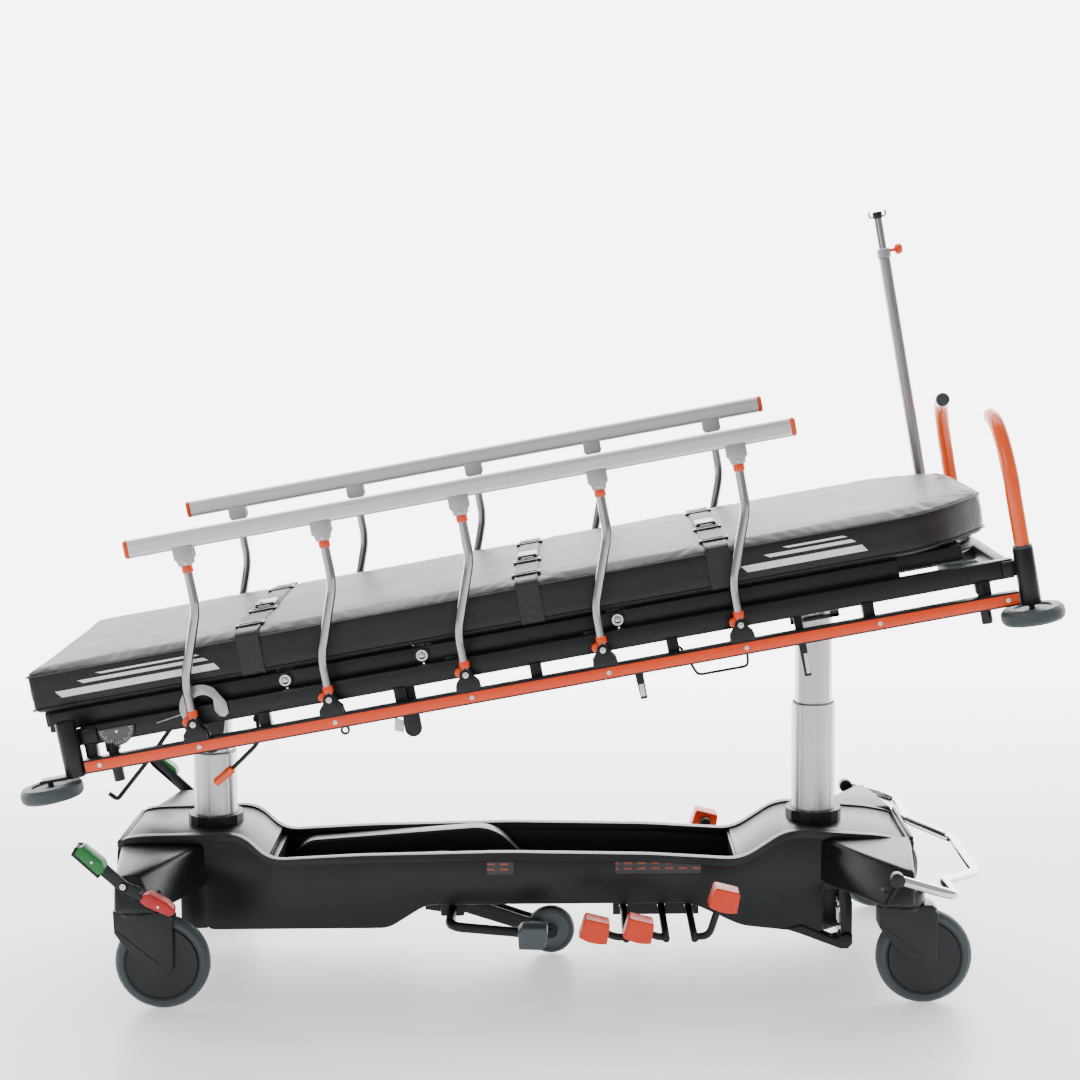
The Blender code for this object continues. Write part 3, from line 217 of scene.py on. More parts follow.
def grey(value, tint=(1, 1, 1)):
    """A neutral colour, with a slight tint where one is given."""
    return (value * tint[0], value * tint[1], value * tint[2], 1)


def speckled(name, low, high, rough, scale, grain_scale, grain, **fixed):
    """A finish with a broad drift of colour and roughness, and a fine grain in its surface."""
    paint = Paint(name, **fixed)
    drift = paint.noise(scale, 4.0)
    paint.set(Base_Color=paint.mix(drift, low, high))
    paint.set(Roughness=(drift - 0.5) * 0.22 + rough)
    paint.bump(paint.noise(grain_scale, 2.0), grain, 0.0006)
    return paint.material


def brushed(name, low, high, rough, stretch, metallic=1.0):
    """Drawn or brushed metal, its lines along one axis."""
    paint = Paint(name, Metallic=metallic)
    lines = paint.noise(1.0, 5.0, 0.7, paint.stretched(stretch))
    cloud = paint.noise(9.0, 3.0)
    paint.set(Base_Color=paint.mix(lines, low, high))
    paint.set(Roughness=(lines - 0.5) * 0.18 + cloud * 0.10 + (rough - 0.05))
    paint.bump(lines, 0.10, 0.0004)
    return paint.material


def mattress_cover():
    """Coated black fabric: a fine weave under a satin coat, with soft folds; its colour follows the fold
    height as painted shade, darker in the troughs and lighter on the crests.
    """
    paint = Paint("mattress_cover", Specular_IOR_Level=0.34, Sheen_Weight=0.04, Sheen_Roughness=0.35)
    crease_height_and_shade = paint.noise(5.0, 4.0, 0.6, paint.stretched((1.0, 1.6, 2.2)))
    ripple = paint.noise(24.0, 3.0)
    pebble = paint.noise(900.0, 1.0)
    # painted shade and highlight: the colour follows the crease noise that also raises the bump, darker in
    # troughs and lighter on crests
    paint.set(Base_Color=paint.mix(crease_height_and_shade, grey(0.0060, (0.82, 1.0, 1.15)),
            grey(0.0120, (0.88, 1.0, 1.10))))
    paint.set(Roughness=ripple * 0.14 + 0.38)
    paint.bump(crease_height_and_shade + ripple * 0.25 + pebble * 0.03, 0.42, 0.006)
    return paint.material


def webbing():
    """Black strap webbing with ribs across the band."""
    paint = Paint("strap_webbing", Sheen_Weight=0.12, Specular_IOR_Level=0.45)
    fuzz = paint.noise(160.0, 2.0)
    ribs = (paint.axis("Y") * 1100.0).sine() * 0.5 + (paint.axis("Z") * 1100.0).sine() * 0.5
    edges = paint.noise(1.0, 2.0, 0.5, paint.stretched((380.0, 6.0, 6.0)))
    paint.set(Base_Color=paint.mix(edges, grey(0.0065), grey(0.0150)))
    paint.set(Roughness=fuzz * 0.25 + 0.42)
    paint.bump(ribs * 0.5 + edges, 0.30, 0.0008)
    return paint.material


def tyre_rubber():
    """Slate rubber, dusty and a little scuffed on the tread."""
    paint = Paint("tyre_rubber")
    dust = paint.noise(30.0, 5.0, 0.65)
    scuff = paint.noise(160.0, 2.0)
    paint.set(Base_Color=paint.mix(dust, (0.022, 0.034, 0.040, 1), (0.042, 0.058, 0.066, 1)))
    paint.set(Roughness=dust * 0.24 + 0.40)
    paint.bump(scuff, 0.16, 0.0008)
    return paint.material


def pedal_pad(name, low, high):
    """A coloured plastic pad with a fine grained face."""
    paint = Paint(name, Specular_IOR_Level=0.5)
    cloud = paint.noise(20.0, 3.0)
    ribs = (paint.axis("X") * 1400.0).sine()
    paint.set(Base_Color=paint.mix(cloud, low, high))
    paint.set(Roughness=cloud * 0.2 + 0.30)
    paint.bump(ribs * 0.5 + paint.noise(600.0, 1.0), 0.18, 0.0006)
    return paint.material


def decal_material():
    """A small printed panel: a dark grey ground with plain orange marks in rows."""
    paint = Paint("decal_print")
    x, z = paint.axis("X"), paint.axis("Z")
    rows = ((z * 520.0).sine() > 0.55) * ((x * 210.0).sine() > -0.2)
    blur = paint.noise(220.0, 1.0)
    paint.set(Base_Color=paint.mix(rows * blur, (0.040, 0.043, 0.046, 1), (0.75, 0.10, 0.02, 1)))
    paint.set(Roughness=blur * 0.1 + 0.45)
    return paint.material


WARM = (1.0, 0.985, 0.96)
M = {
    "moulded": speckled("moulded_black", (0.0045, 0.0058, 0.0066, 1), (0.0085, 0.0105, 0.0120, 1),
                        0.33, 3.0, 420.0, 0.20, Specular_IOR_Level=0.34),
    "powder": speckled("powder_black", (0.0048, 0.0060, 0.0068, 1), (0.0085, 0.0102, 0.0115, 1),
                       0.36, 6.0, 700.0, 0.16, Specular_IOR_Level=0.32),
    "gloss_black": speckled("gloss_black", (0.005, 0.006, 0.007, 1), (0.010, 0.011, 0.012, 1),
                            0.22, 8.0, 300.0, 0.05),
    "orange_gloss": speckled("orange_gloss", (0.84, 0.072, 0.000, 1), (0.90, 0.095, 0.002, 1),
                             0.20, 5.0, 90.0, 0.03, Coat_Weight=0.5, Coat_Roughness=0.08),
    "orange_satin": speckled("orange_satin", (0.78, 0.048, 0.000, 1), (0.86, 0.066, 0.001, 1),
                             0.34, 7.0, 500.0, 0.06),
    "anodised": brushed("anodised", grey(0.48, (1, 1.005, 1.01)), grey(0.64, (1, 1.003, 1.005)), 0.36,
                        (60, 60, 3)),
    "rail_silver": brushed("rail_silver", grey(0.60), grey(0.72), 0.42, (3, 160, 160), 0.7),
    "stainless": brushed("stainless", grey(0.26, WARM), grey(0.50, WARM), 0.13, (60, 60, 10)),
    "pole_steel": brushed("pole_steel", grey(0.26, WARM), grey(0.46, WARM), 0.30, (120, 120, 6)),
    "clamp_grey": brushed("clamp_grey", grey(0.34), grey(0.46), 0.42, (40, 40, 40), 0.8),
    "chrome": brushed("chrome", grey(0.62), grey(0.80), 0.08, (30, 30, 30)),
    "zinc": brushed("zinc", grey(0.50), grey(0.72), 0.22, (80, 80, 80)),
    "tyre": tyre_rubber(),
    "cover": mattress_cover(),
    "webbing": webbing(),
    "green": pedal_pad("pad_green", (0.001, 0.130, 0.018, 1), (0.003, 0.190, 0.030, 1)),
    "red": pedal_pad("pad_red", (0.42, 0.001, 0.004, 1), (0.54, 0.003, 0.007, 1)),
    "orange_pad": pedal_pad("pad_orange", (0.74, 0.028, 0.000, 1), (0.82, 0.040, 0.001, 1)),
    "grey_pad": pedal_pad("pad_grey", (0.048, 0.066, 0.078, 1), (0.078, 0.098, 0.112, 1)),
    "print_white": speckled("print_white", grey(0.78), grey(0.88), 0.42, 30.0, 500.0, 0.08),
    "dial_grey": speckled("dial_grey", grey(0.060), grey(0.095), 0.35, 30.0, 300.0, 0.05),
    "decal": decal_material(),
}


# ---- shapes --------------------------------------------------------------------------------------
def span(side, low, high):
    """The (low, high) pair of a y range on one side of the middle plane."""
    return (low, high) if side > 0 else (-high, -low)


def softened(bm, width, steps=2, angle=30):
    """Rounds every edge that is sharper than the angle."""
    if width <= 0:
        return bm
    sharp = [e for e in bm.edges if len(e.link_faces) == 2 and e.calc_face_angle(0) > math.radians(angle)]
    bmesh.ops.bevel(bm, geom=sharp, offset=width, segments=steps, profile=0.5, affect="EDGES",
            clamp_overlap=True)
    return bm


def box(u, y, w, soft=0.002, steps=2):
    """A box with rounded edges from its (low, high) pair along each axis."""
    bm = bmesh.new()
    bmesh.ops.create_cube(bm, size=1.0)
    size = Vector((u[1] - u[0], y[1] - y[0], w[1] - w[0]))
    middle = Vector((u[0] + u[1], y[0] + y[1], w[0] + w[1])) / 2
    bmesh.ops.transform(bm, matrix=Matrix.Translation(middle) @ Matrix.Diagonal((*size, 1)), verts=bm.verts)
    return softened(bm, min(soft, min(size) * 0.45), steps)


def rod(start, end, radius, sides=32, soft=0.0, end_radius=None):
    """A round bar or cone between two points."""
    start, end = Vector(start), Vector(end)
    along = end - start
    bm = bmesh.new()
    bmesh.ops.create_cone(bm, cap_ends=True, segments=sides, radius1=radius,
                          radius2=radius if end_radius is None else end_radius, depth=along.length)
    turn = along.to_track_quat("Z", "Y").to_matrix().to_4x4()
    softened(bm, soft, 2, 60)
    bmesh.ops.transform(bm, matrix=Matrix.Translation((start + end) / 2) @ turn, verts=bm.verts)
    return bm


def prism(points, y_span, soft=0.0015, steps=2):
    """An outline in the (x, z) plane, carried across y."""
    bm = bmesh.new()
    low = [bm.verts.new((x, y_span[0], z)) for x, z in points]
    face = bm.faces.new(low)
    made = bmesh.ops.extrude_face_region(bm, geom=[face])
    moved = [v for v in made["geom"] if isinstance(v, bmesh.types.BMVert)]
    bmesh.ops.translate(bm, vec=(0, y_span[1] - y_span[0], 0), verts=moved)
    bmesh.ops.recalc_face_normals(bm, faces=bm.faces)
    if soft > 0:
        rim = [e for e in bm.edges if len({round(v.co.y, 6) for v in e.verts}) == 1]
        bmesh.ops.bevel(bm, geom=rim, offset=soft, segments=steps, profile=0.5, affect="EDGES",
                clamp_overlap=True)
    return bm


def extrusion(section, ends):
    """A (y, w) section carried along u."""
    bm = bmesh.new()
    face = bm.faces.new([bm.verts.new((ends[0], y, w)) for y, w in section])
    made = bmesh.ops.extrude_face_region(bm, geom=[face])
    moved = [v for v in made["geom"] if isinstance(v, bmesh.types.BMVert)]
    bmesh.ops.translate(bm, vec=(ends[1] - ends[0], 0, 0), verts=moved)
    bmesh.ops.recalc_face_normals(bm, faces=bm.faces)
    return bm


def circle(radius, sides=20):
    """Points round a circle in its own plane."""
    return [(radius * math.cos(2 * math.pi * k / sides), radius * math.sin(2 * math.pi * k / sides))
            for k in range(sides)]


def tube(points, radius, sides=20):
    """A round bar along a path, turned without twist."""
    points = [Vector(p) for p in points]
    bm = bmesh.new()
    rings = []
    side = None
    for index, point in enumerate(points):
        ahead = (points[min(index + 1, len(points) - 1)] - points[max(index - 1, 0)]).normalized()
        side = ahead.orthogonal() if side is None else side - ahead * side.dot(ahead)
        side = side.normalized()
        top = ahead.cross(side)
        rings.append([bm.verts.new(point + side * a + top * b) for a, b in circle(radius, sides)])
    for low, high in zip(rings, rings[1:]):
        for k in range(sides):
            bm.faces.new((low[k], low[(k + 1) % sides], high[(k + 1) % sides], high[k]))
    bm.faces.new(rings[0])
    bm.faces.new(rings[-1])
    bmesh.ops.recalc_face_normals(bm, faces=bm.faces)
    return bm


def rounded_path(points, radius, steps=6):
    """A path whose inner corners are turned with arcs."""
    points = [Vector(p) for p in points]
    path = [points[0]]
    for before, corner, after in zip(points, points[1:], points[2:]):
        into, out = (before - corner), (after - corner)
        reach = min(radius, into.length * 0.48, out.length * 0.48)
        start, end = corner + into.normalized() * reach, corner + out.normalized() * reach
        for k in range(steps + 1):
            t = k / steps
            path.append(start * (1 - t) ** 2 + corner * 2 * t * (1 - t) + end * t ** 2)
    return path + [points[-1]]


def lathe(profile, steps=48, axis="Z"):
    """A turned shape from (radius, height) points; a radius of 0 closes on the axis."""
    bm = bmesh.new()
    rings = []
    for radius, height in profile:
        if radius < 1e-6:
            rings.append([bm.verts.new((0, 0, height))])
        else:
            rings.append([bm.verts.new((a, b, height)) for a, b in circle(radius, steps)])
    closed = len(rings[0]) > 1 and len(rings[-1]) > 1
    pairs = list(zip(rings, rings[1:] + ([rings[0]] if closed else [])))
    for low, high in pairs[:None if closed else len(rings) - 1]:
        for k in range(steps):
            n = (k + 1) % steps
            if len(low) == 1:
                bm.faces.new((low[0], high[n], high[k]))
            elif len(high) == 1:
                bm.faces.new((low[k], low[n], high[0]))
            else:
                bm.faces.new((low[k], low[n], high[n], high[k]))
    bmesh.ops.recalc_face_normals(bm, faces=bm.faces)
    if axis == "Y":
        bmesh.ops.transform(bm, matrix=Matrix.Rotation(math.pi / 2, 4, "X"), verts=bm.verts)
    return bm


def shifted(bm, *offset):
    """A shape moved by an offset."""
    bmesh.ops.translate(bm, vec=offset, verts=bm.verts)
    return bm


def turned(bm, matrix):
    """A shape placed by a matrix."""
    bmesh.ops.transform(bm, matrix=matrix, verts=bm.verts)
    return bm


def arc(centre, radius, first, last, steps):
    """Points on an arc in a plane, angles in degrees."""
    angles = [math.radians(first + (last - first) * k / steps) for k in range(steps + 1)]
    return [(centre[0] + radius * math.cos(a), centre[1] + radius * math.sin(a)) for a in angles]


def smooth(value):
    """A value from 0 to 1, eased at both ends."""
    value = min(max(value, 0.0), 1.0)
    return value * value * (3 - 2 * value)


def piece(name, body, finish, shapes, place=None, replaces=(), slot=None, sharp=32):
    """Makes one piece from closed shapes: its mesh in place, its finish, and the body that it rides on."""
    bm = bmesh.new()
    for shape in shapes:
        mesh = bpy.data.meshes.new("part")
        shape.to_mesh(mesh)
        shape.free()
        bm.from_mesh(mesh)
        bpy.data.meshes.remove(mesh)
    if place is not None:
        bmesh.ops.transform(bm, matrix=place, verts=bm.verts)
    mesh = bpy.data.meshes.new(name)
    bm.to_mesh(mesh)
    bm.free()
    mesh.materials.append(M[finish])
    mesh.shade_smooth()
    mesh.set_sharp_from_angle(angle=math.radians(sharp))
    made = bpy.data.objects.new(name, mesh)
    bpy.context.scene.collection.objects.link(made)
    if body:
        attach(made, body)
    if replaces:
        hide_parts(*replaces)
    return made


def platform_piece(name, finish, shapes, body="platform", **more):
    """A piece drawn in the lying platform's own axes."""
    return piece(name, body, finish, shapes, TO_PLATFORM, **more)


# ---- repeated fasteners --------------------------------------------------------------------------
def screw_tree(finish):
    """A node tree that sets a row of domed screws: count, first place, step, radius and height."""
    tree = bpy.data.node_groups.new("screw_row", "GeometryNodeTree")
    face = tree.interface
    face.new_socket("Geometry", in_out="OUTPUT", socket_type="NodeSocketGeometry")
    kinds = (("Count", "NodeSocketInt"), ("First", "NodeSocketVector"), ("Step", "NodeSocketVector"),
             ("Radius", "NodeSocketFloat"), ("Height", "NodeSocketFloat"), ("Turn", "NodeSocketRotation"))
    for label, kind in kinds:
        face.new_socket(label, in_out="INPUT", socket_type=kind)
    given = tree.nodes.new("NodeGroupInput")
    result = tree.nodes.new("NodeGroupOutput")
    line = tree.nodes.new("GeometryNodeMeshLine")
    line.mode = "OFFSET"
    head = tree.nodes.new("GeometryNodeMeshCylinder")
    head.inputs["Vertices"].default_value = 12
    top = tree.nodes.new("GeometryNodeMeshUVSphere")
    top.inputs["Segments"].default_value = 12
    top.inputs["Rings"].default_value = 6
    flat = tree.nodes.new("GeometryNodeTransform")
    flat.inputs["Scale"].default_value = (0.78, 0.78, 0.42)
    both = tree.nodes.new("GeometryNodeJoinGeometry")
    rows = tree.nodes.new("GeometryNodeInstanceOnPoints")
    real = tree.nodes.new("GeometryNodeRealizeInstances")
    paint = tree.nodes.new("GeometryNodeSetMaterial")
    paint.inputs["Material"].default_value = M[finish]
    links = ((given, "Count", line, "Count"), (given, "First", line, "Start Location"),
            (given, "Step", line, "Offset"), (given, "Radius", head, "Radius"),
            (given, "Height", head, "Depth"), (given, "Radius", top, "Radius"),
            (top, "Mesh", flat, "Geometry"), (head, "Mesh", both, "Geometry"),
            (flat, "Geometry", both, "Geometry"), (line, "Mesh", rows, "Points"),
            (both, "Geometry", rows, "Instance"), (given, "Turn", rows, "Rotation"),
            (rows, "Instances", real, "Geometry"), (real, "Geometry", paint, "Geometry"),
            (paint, "Geometry", result, "Geometry"))
    for source, out, target, into in links:
        tree.links.new(source.outputs[out], target.inputs[into])
    return tree


SCREWS = screw_tree("zinc")


def screw_row(name, body, first, step, count, radius, height=0.003, place=TO_PLATFORM):
    """A row of screws as one plain mesh."""
    holder = bpy.data.objects.new(name, bpy.data.meshes.new(name))
    bpy.context.scene.collection.objects.link(holder)
    grow = holder.modifiers.new("screws", "NODES")
    grow.node_group = SCREWS
    values = {"Count": count, "First": first, "Step": step, "Radius": radius, "Height": height,
              "Turn": (math.pi / 2, 0, 0)}
    for item in SCREWS.interface.items_tree:
        if item.in_out == "INPUT":
            grow[item.identifier] = values[item.name]
    shape = holder.evaluated_get(bpy.context.evaluated_depsgraph_get())
    mesh = bpy.data.meshes.new_from_object(shape)
    holder.modifiers.remove(grow)
    mesh.transform(place)
    mesh.shade_smooth()
    mesh.set_sharp_from_angle(angle=math.radians(40))
    holder.data = mesh
    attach(holder, body)
    return holder


# ---- base ----------------------------------------------------------------------------------------
FOOT_END, HEAD_END = FOOT_X - 0.197, HEAD_X + 0.205
TRAY_FOOT, TRAY_HEAD = FOOT_X + 0.130, HEAD_X - 0.170
HUMP, RIM, FLOOR = 0.318, 0.272, 0.200
LOW, HIGH = 0.102, 0.154
POCKET = HEAD_X + 0.008
POCKET_END = HEAD_X + 0.072
STEP_X = FOOT_X - 0.008


def rim_line():
    """The cover's top outline from the foot end to the head end, rounded where it bends."""
    corners = [(FOOT_END, 0, HUMP - 0.060), (FOOT_END + 0.004, 0, HUMP - 0.010),
            (FOOT_END + 0.050, 0, HUMP - 0.003), (TRAY_FOOT - 0.055, 0, HUMP),
            (TRAY_FOOT + 0.004, 0, RIM - 0.014), (TRAY_FOOT + 0.200, 0, RIM - 0.005),
            ((TRAY_FOOT + TRAY_HEAD) / 2, 0, RIM), (TRAY_HEAD - 0.200, 0, RIM - 0.007),
            (TRAY_HEAD, 0, RIM - 0.020), (TRAY_HEAD + 0.100, 0, HUMP), (HEAD_END - 0.070, 0, HUMP - 0.015),
            (HEAD_END - 0.004, 0, HUMP - 0.030), (HEAD_END, 0, HUMP - 0.085)]
    return [(p.x, p.z) for p in rounded_path(corners, 0.035, 5)]


def lower_line():
    """The stepped lower edge, from the head end back to the foot end."""
    corners = [(HEAD_END, 0, 0.222), (HEAD_END - 0.006, 0, 0.206), (POCKET, 0, 0.206), (POCKET, 0, 0.082),
            (HEAD_X - 0.045, 0, 0.088), (HEAD_X - 0.170, 0, LOW), (TRAY_HEAD - 0.110, 0, HIGH),
            (TRAY_FOOT + 0.345, 0, HIGH), (TRAY_FOOT + 0.262, 0, LOW), (STEP_X, 0, LOW), (STEP_X, 0, 0.210),
            (FOOT_END + 0.020, 0, 0.222), (FOOT_END, 0, 0.230)]
    return [(p.x, p.z) for p in rounded_path(corners, 0.020, 4)]


def cut_line(points, low, high):
    """The part of an outline's top between two x values."""
    return [p for p in points if low <= p[0] <= high]


def outrigger(stem_x, way, side):
    """An arm that sweeps from the body to its caster, with a sloped top and a housing over the swivel.

    way is 1 where the swept side faces the head end, -1 where it faces the foot end.
    """
    spans = {1: (0.076, 0.108, 0.042, 0.046), -1: (0.052, 0.146, 0.022, 0.044)}
    root_back, root_front, tip_back, tip_front = spans[way]
    corners = {(-1, -1): (-root_back, 0.128), (1, -1): (root_front, 0.128), (1, 1): (tip_front, 0.387),
            (-1, 1): (-tip_back, 0.387)}
    tops = {(-1, -1): (-root_back, 0.128, 0.299), (1, -1): (root_front, 0.128, 0.297),
            (1, 1): (0.004 if way > 0 else -0.006, 0.368, 0.294), (-1, 1): (-tip_back, 0.372, 0.291)}
    bm = bmesh.new()
    bmesh.ops.create_cube(bm, size=2.0)
    for vert in bm.verts:
        key = (1 if vert.co.x * way > 0 else -1, 1 if vert.co.y * side > 0 else -1)
        if vert.co.z > 0:
            along, across, up = tops[key]
        else:
            (along, across), up = corners[key], (0.217 if key[1] > 0 else 0.198)
        vert.co = (stem_x + way * along, side * across, up)
    if way < 0:
        bmesh.ops.recalc_face_normals(bm, faces=bm.faces)
    arm = softened(bm, 0.010, 3, 12)
    skirt = rod((stem_x, side * CASTER_Y, 0.2165), (stem_x, side * CASTER_Y, 0.250), 0.050, 48, 0.004,
            0.046)
    return [arm, skirt]


def make_cover():
    """The moulded body: side walls, humps, tray, arms, column collars and two small decals."""
    top = rim_line()
    side_outline = top + lower_line()
    shapes = []
    for side in (-1, 1):
        shapes.append(prism(side_outline, span(side, 0.126, 0.1345), 0.003))
        lip = top + [(x, z - 0.017) for x, z in reversed(top)]
        shapes.append(prism(lip, span(side, 0.118, 0.1398), 0.0045, 3))
        sill = [(HEAD_X - 0.075, 0.094), (HEAD_X - 0.045, 0.084), (HEAD_X + 0.045, 0.049),
                (HEAD_X + 0.062, 0.0485), (POCKET_END, 0.060), (POCKET_END, 0.080),
                (POCKET_END - 0.012, 0.083), (HEAD_X + 0.030, 0.074), (HEAD_X - 0.040, 0.104)]
        shapes.append(prism(sill, span(side, 0.100, 0.1385), 0.004, 3))
        shapes.append(prism([(POCKET_END - 0.024, 0.078), (POCKET_END, 0.078), (POCKET_END, 0.150),
                (POCKET_END - 0.010, 0.210), (POCKET_END - 0.030, 0.212)], span(side, 0.104, 0.1300),
                0.002))
        shapes.append(box((STEP_X - 0.055, STEP_X + 0.004), span(side, 0.085, 0.1315), (0.104, 0.215),
                0.004))
        shapes.append(prism([(POCKET - 0.004, 0.085), (POCKET_END - 0.010, 0.070),
                (POCKET_END - 0.010, 0.205), (POCKET - 0.004, 0.205)], span(side, 0.058, 0.064), 0.001))
    for low, high, end_x in ((FOOT_END, TRAY_FOOT + 0.012, "foot"), (TRAY_HEAD - 0.012, HEAD_END, "head")):
        crest = cut_line(top, low, high)
        base = 0.216 if end_x == "foot" else 0.180
        body = [(x, z - 0.0035) for x, z in crest] + [(crest[-1][0], base), (crest[0][0], base)]
        shapes.append(prism(body, (-0.127, 0.127), 0.002))
    for x, way in ((FOOT_END, 1), (HEAD_END, -1)):
        edge = sorted((x + 0.0002 * way, x + 0.013 * way))
        shapes.append(box(edge, (-0.136, 0.136), (HUMP - 0.032 - (0.016 if way < 0 else 0),
                HUMP - 0.012 - (0.016 if way < 0 else 0)), 0.005, 3))
        shapes.append(box(sorted((x + 0.001 * way, x + 0.009 * way)), (-0.130, 0.130),
                (0.200 if way > 0 else 0.178, HUMP - 0.02), 0.003))
    shapes.append(box((TRAY_FOOT - 0.02, TRAY_HEAD + 0.02), (-0.128, 0.128),
            (FLOOR - 0.006, FLOOR - 0.0005), 0.001))
    for x in (TRAY_FOOT + 0.008, TRAY_HEAD - 0.008):
        shapes.append(box((x - 0.006, x + 0.006), (-0.127, 0.127), (FLOOR - 0.004, RIM - 0.024), 0.002))
    for stem, way in ((FOOT_STEM_X, 1), (HEAD_STEM_X, -1)):
        for side in (-1, 1):
            shapes += outrigger(stem, way, side)
    piece("cover_shell", "base", "moulded", shapes, replaces=("base_cover",), slot="moulded_black")
    for x in (FOOT_X, HEAD_X):
        ring = [(0.0488, 0.000), (0.0488, 0.0080), (0.0502, 0.0098), (0.0525, 0.0085), (0.0545, 0.0050),
                (0.0600, 0.0006)]
        piece(f"column_collar_{'foot' if x < 0 else 'head'}", "base", "gloss_black",
              [shifted(lathe(ring, 56), x, 0, HUMP - 0.004)], slot="moulded_black")
    for index, (low, high) in enumerate(((-0.120, -0.062), (0.160, 0.345))):
        wide = box((low, high), (-0.1352, -0.1345), (0.222, 0.250), 0.0003)
        piece(f"cover_decal_{index + 1}", "base", "decal", [wide], slot="moulded_black")


def make_cradle():
    """The bottle trough moulded into the tray: two long rounded walls that meet in a rounded end."""
    foot, head = TRAY_FOOT + 0.030, TRAY_FOOT + 0.565
    for name, y_low, y_high, height, inset in (("cradle_wall_near", -0.045, -0.012, 0.046, 0.085),
            ("cradle_wall_far", 0.058, 0.106, 0.078, 0.0)):
        crest = rounded_path([(foot, 0, FLOOR + 0.012), (foot + 0.03, 0, FLOOR + height - 0.030),
                (head - inset - 0.075, 0, FLOOR + height), (head - inset, 0, FLOOR + 0.002)], 0.055, 8)
        head_here = head - inset
        outline = [(p.x, p.z) for p in crest] + [(head_here - 0.01, FLOOR + 0.0005), (foot, FLOOR + 0.0005)]
        piece(name, "base", "moulded", [prism(outline, (y_low, y_high), 0.009, 4)], slot="moulded_black",
              replaces=("bottle_cradle",) if "near" in name else ())
    bed = [(-0.014, 0.0)] + [(0.024 + 0.040 * math.sin(math.radians(a)),
            0.034 - 0.030 * math.cos(math.radians(a))) for a in range(-75, 80, 15)] + [(0.062, 0.0)]
    piece("cradle_bed", "base", "moulded", [shifted(extrusion(bed, (foot + 0.01, head - 0.03)), 0, 0,
            FLOOR + 0.001)], slot="moulded_black")


def make_chassis():
    """The steel frame where it shows under the cover, and the silver jack foot in the head pocket."""
    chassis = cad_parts["chassis"]
    chassis.data.materials.clear()
    chassis.data.materials.append(M["powder"])
    x = HEAD_X + 0.052
    shapes = [rod((x, y, 0.075), (x, y, 0.150), 0.010, 20, 0.002) for y in (-0.108, -0.080)]
    shapes.append(box((x - 0.014, x + 0.014), (-0.124, -0.070), (0.088, 0.098), 0.002))
    shapes.append(box((x - 0.010, x + 0.010), (-0.124, -0.075), (0.128, 0.140), 0.002))
    piece("jack_foot", "base", "zinc", shapes, slot="anodised")
    bracket = prism([(-0.260, 0.152), (-0.262, 0.118), (-0.225, 0.112), (-0.180, 0.112), (-0.165, 0.152)],
            (-0.0495, -0.044), 0.001)
    piece("fifth_wheel_hanger", "base", "powder", [bracket], slot="powder_black")


def make_caster(stem_x, side, label):
    """A swivel fork with its tyre and hub."""
    y = side * CASTER_Y
    wheel_x = stem_x + TRAIL
    fork = f"caster_fork_{label}"
    gap = 0.0195
    shapes = []
    plan = [(stem_x - 0.0500, 0.2140), (stem_x - 0.0490, 0.168), (wheel_x - 0.078, 0.142)]
    plan += arc((wheel_x + 0.001, 0.098), 0.0255, 215, 352, 9)
    plan += [(wheel_x + 0.0275, 0.150), (wheel_x + 0.0265, 0.196), (wheel_x + 0.014, 0.2140)]
    for way in (-1, 1):
        shapes.append(prism(plan, tuple(sorted((y + way * gap, y + way * (gap + 0.0080)))), 0.0035, 3))
        ridge = [(stem_x - 0.046, 0.176), (stem_x - 0.042, 0.171), (wheel_x - 0.004, 0.096),
                (wheel_x - 0.001, 0.101)]
        outer = y + way * (gap + 0.0092)
        shapes.append(prism(ridge, tuple(sorted((outer, outer - way * 0.004))), 0.0012))
    roof = [(stem_x - 0.050, 0.2145), (stem_x - 0.0495, 0.2045), (wheel_x + 0.0265, 0.2035),
            (wheel_x + 0.014, 0.2145)]
    shapes.append(prism(roof, (y - gap - 0.006, y + gap + 0.006), 0.003, 3))
    shapes.append(rod((stem_x, y, 0.2035), (stem_x, y, 0.2160), 0.0440, 48, 0.003, 0.042))
    shapes.append(rod((wheel_x, y - gap - 0.004, WHEEL_R), (wheel_x, y + gap + 0.004, WHEEL_R), 0.010, 24,
            0.001))
    front = [(stem_x - 0.0505, 0.2135), (stem_x - 0.0495, 0.170), (stem_x - 0.030, 0.158),
            (stem_x - 0.032, 0.2135)]
    shapes.append(prism(front, (y - gap - 0.006, y + gap + 0.006), 0.004, 3))
    piece(f"{fork}_shell", fork, "moulded", shapes, replaces=(fork,), slot="moulded_black")
    wheel = f"caster_wheel_{label}"
    tread = [(0.0790, -0.0145), (0.0820, -0.0172), (0.0905, -0.0170), (0.0970, -0.0120), (0.0998, -0.0050),
            (0.1000, 0.0), (0.0998, 0.0050), (0.0970, 0.0120), (0.0905, 0.0170), (0.0820, 0.0172),
            (0.0790, 0.0145)]
    piece(f"{wheel}_tyre", wheel, "tyre", [shifted(lathe(tread, 72, "Y"), wheel_x, y, WHEEL_R)],
            slot="tyre_grey", replaces=(wheel,))
    disc = [(0.0, -0.0165), (0.030, -0.0165), (0.060, -0.0150), (0.0745, -0.0160), (0.0765, -0.0130),
            (0.0790, -0.0130), (0.0790, 0.0130), (0.0765, 0.0130), (0.0745, 0.0160), (0.060, 0.0150),
            (0.030, 0.0165), (0.0, 0.0165)]
    piece(f"{wheel}_hub", wheel, "moulded", [shifted(lathe(disc, 64, "Y"), wheel_x, y, WHEEL_R)],
            slot="moulded_black")


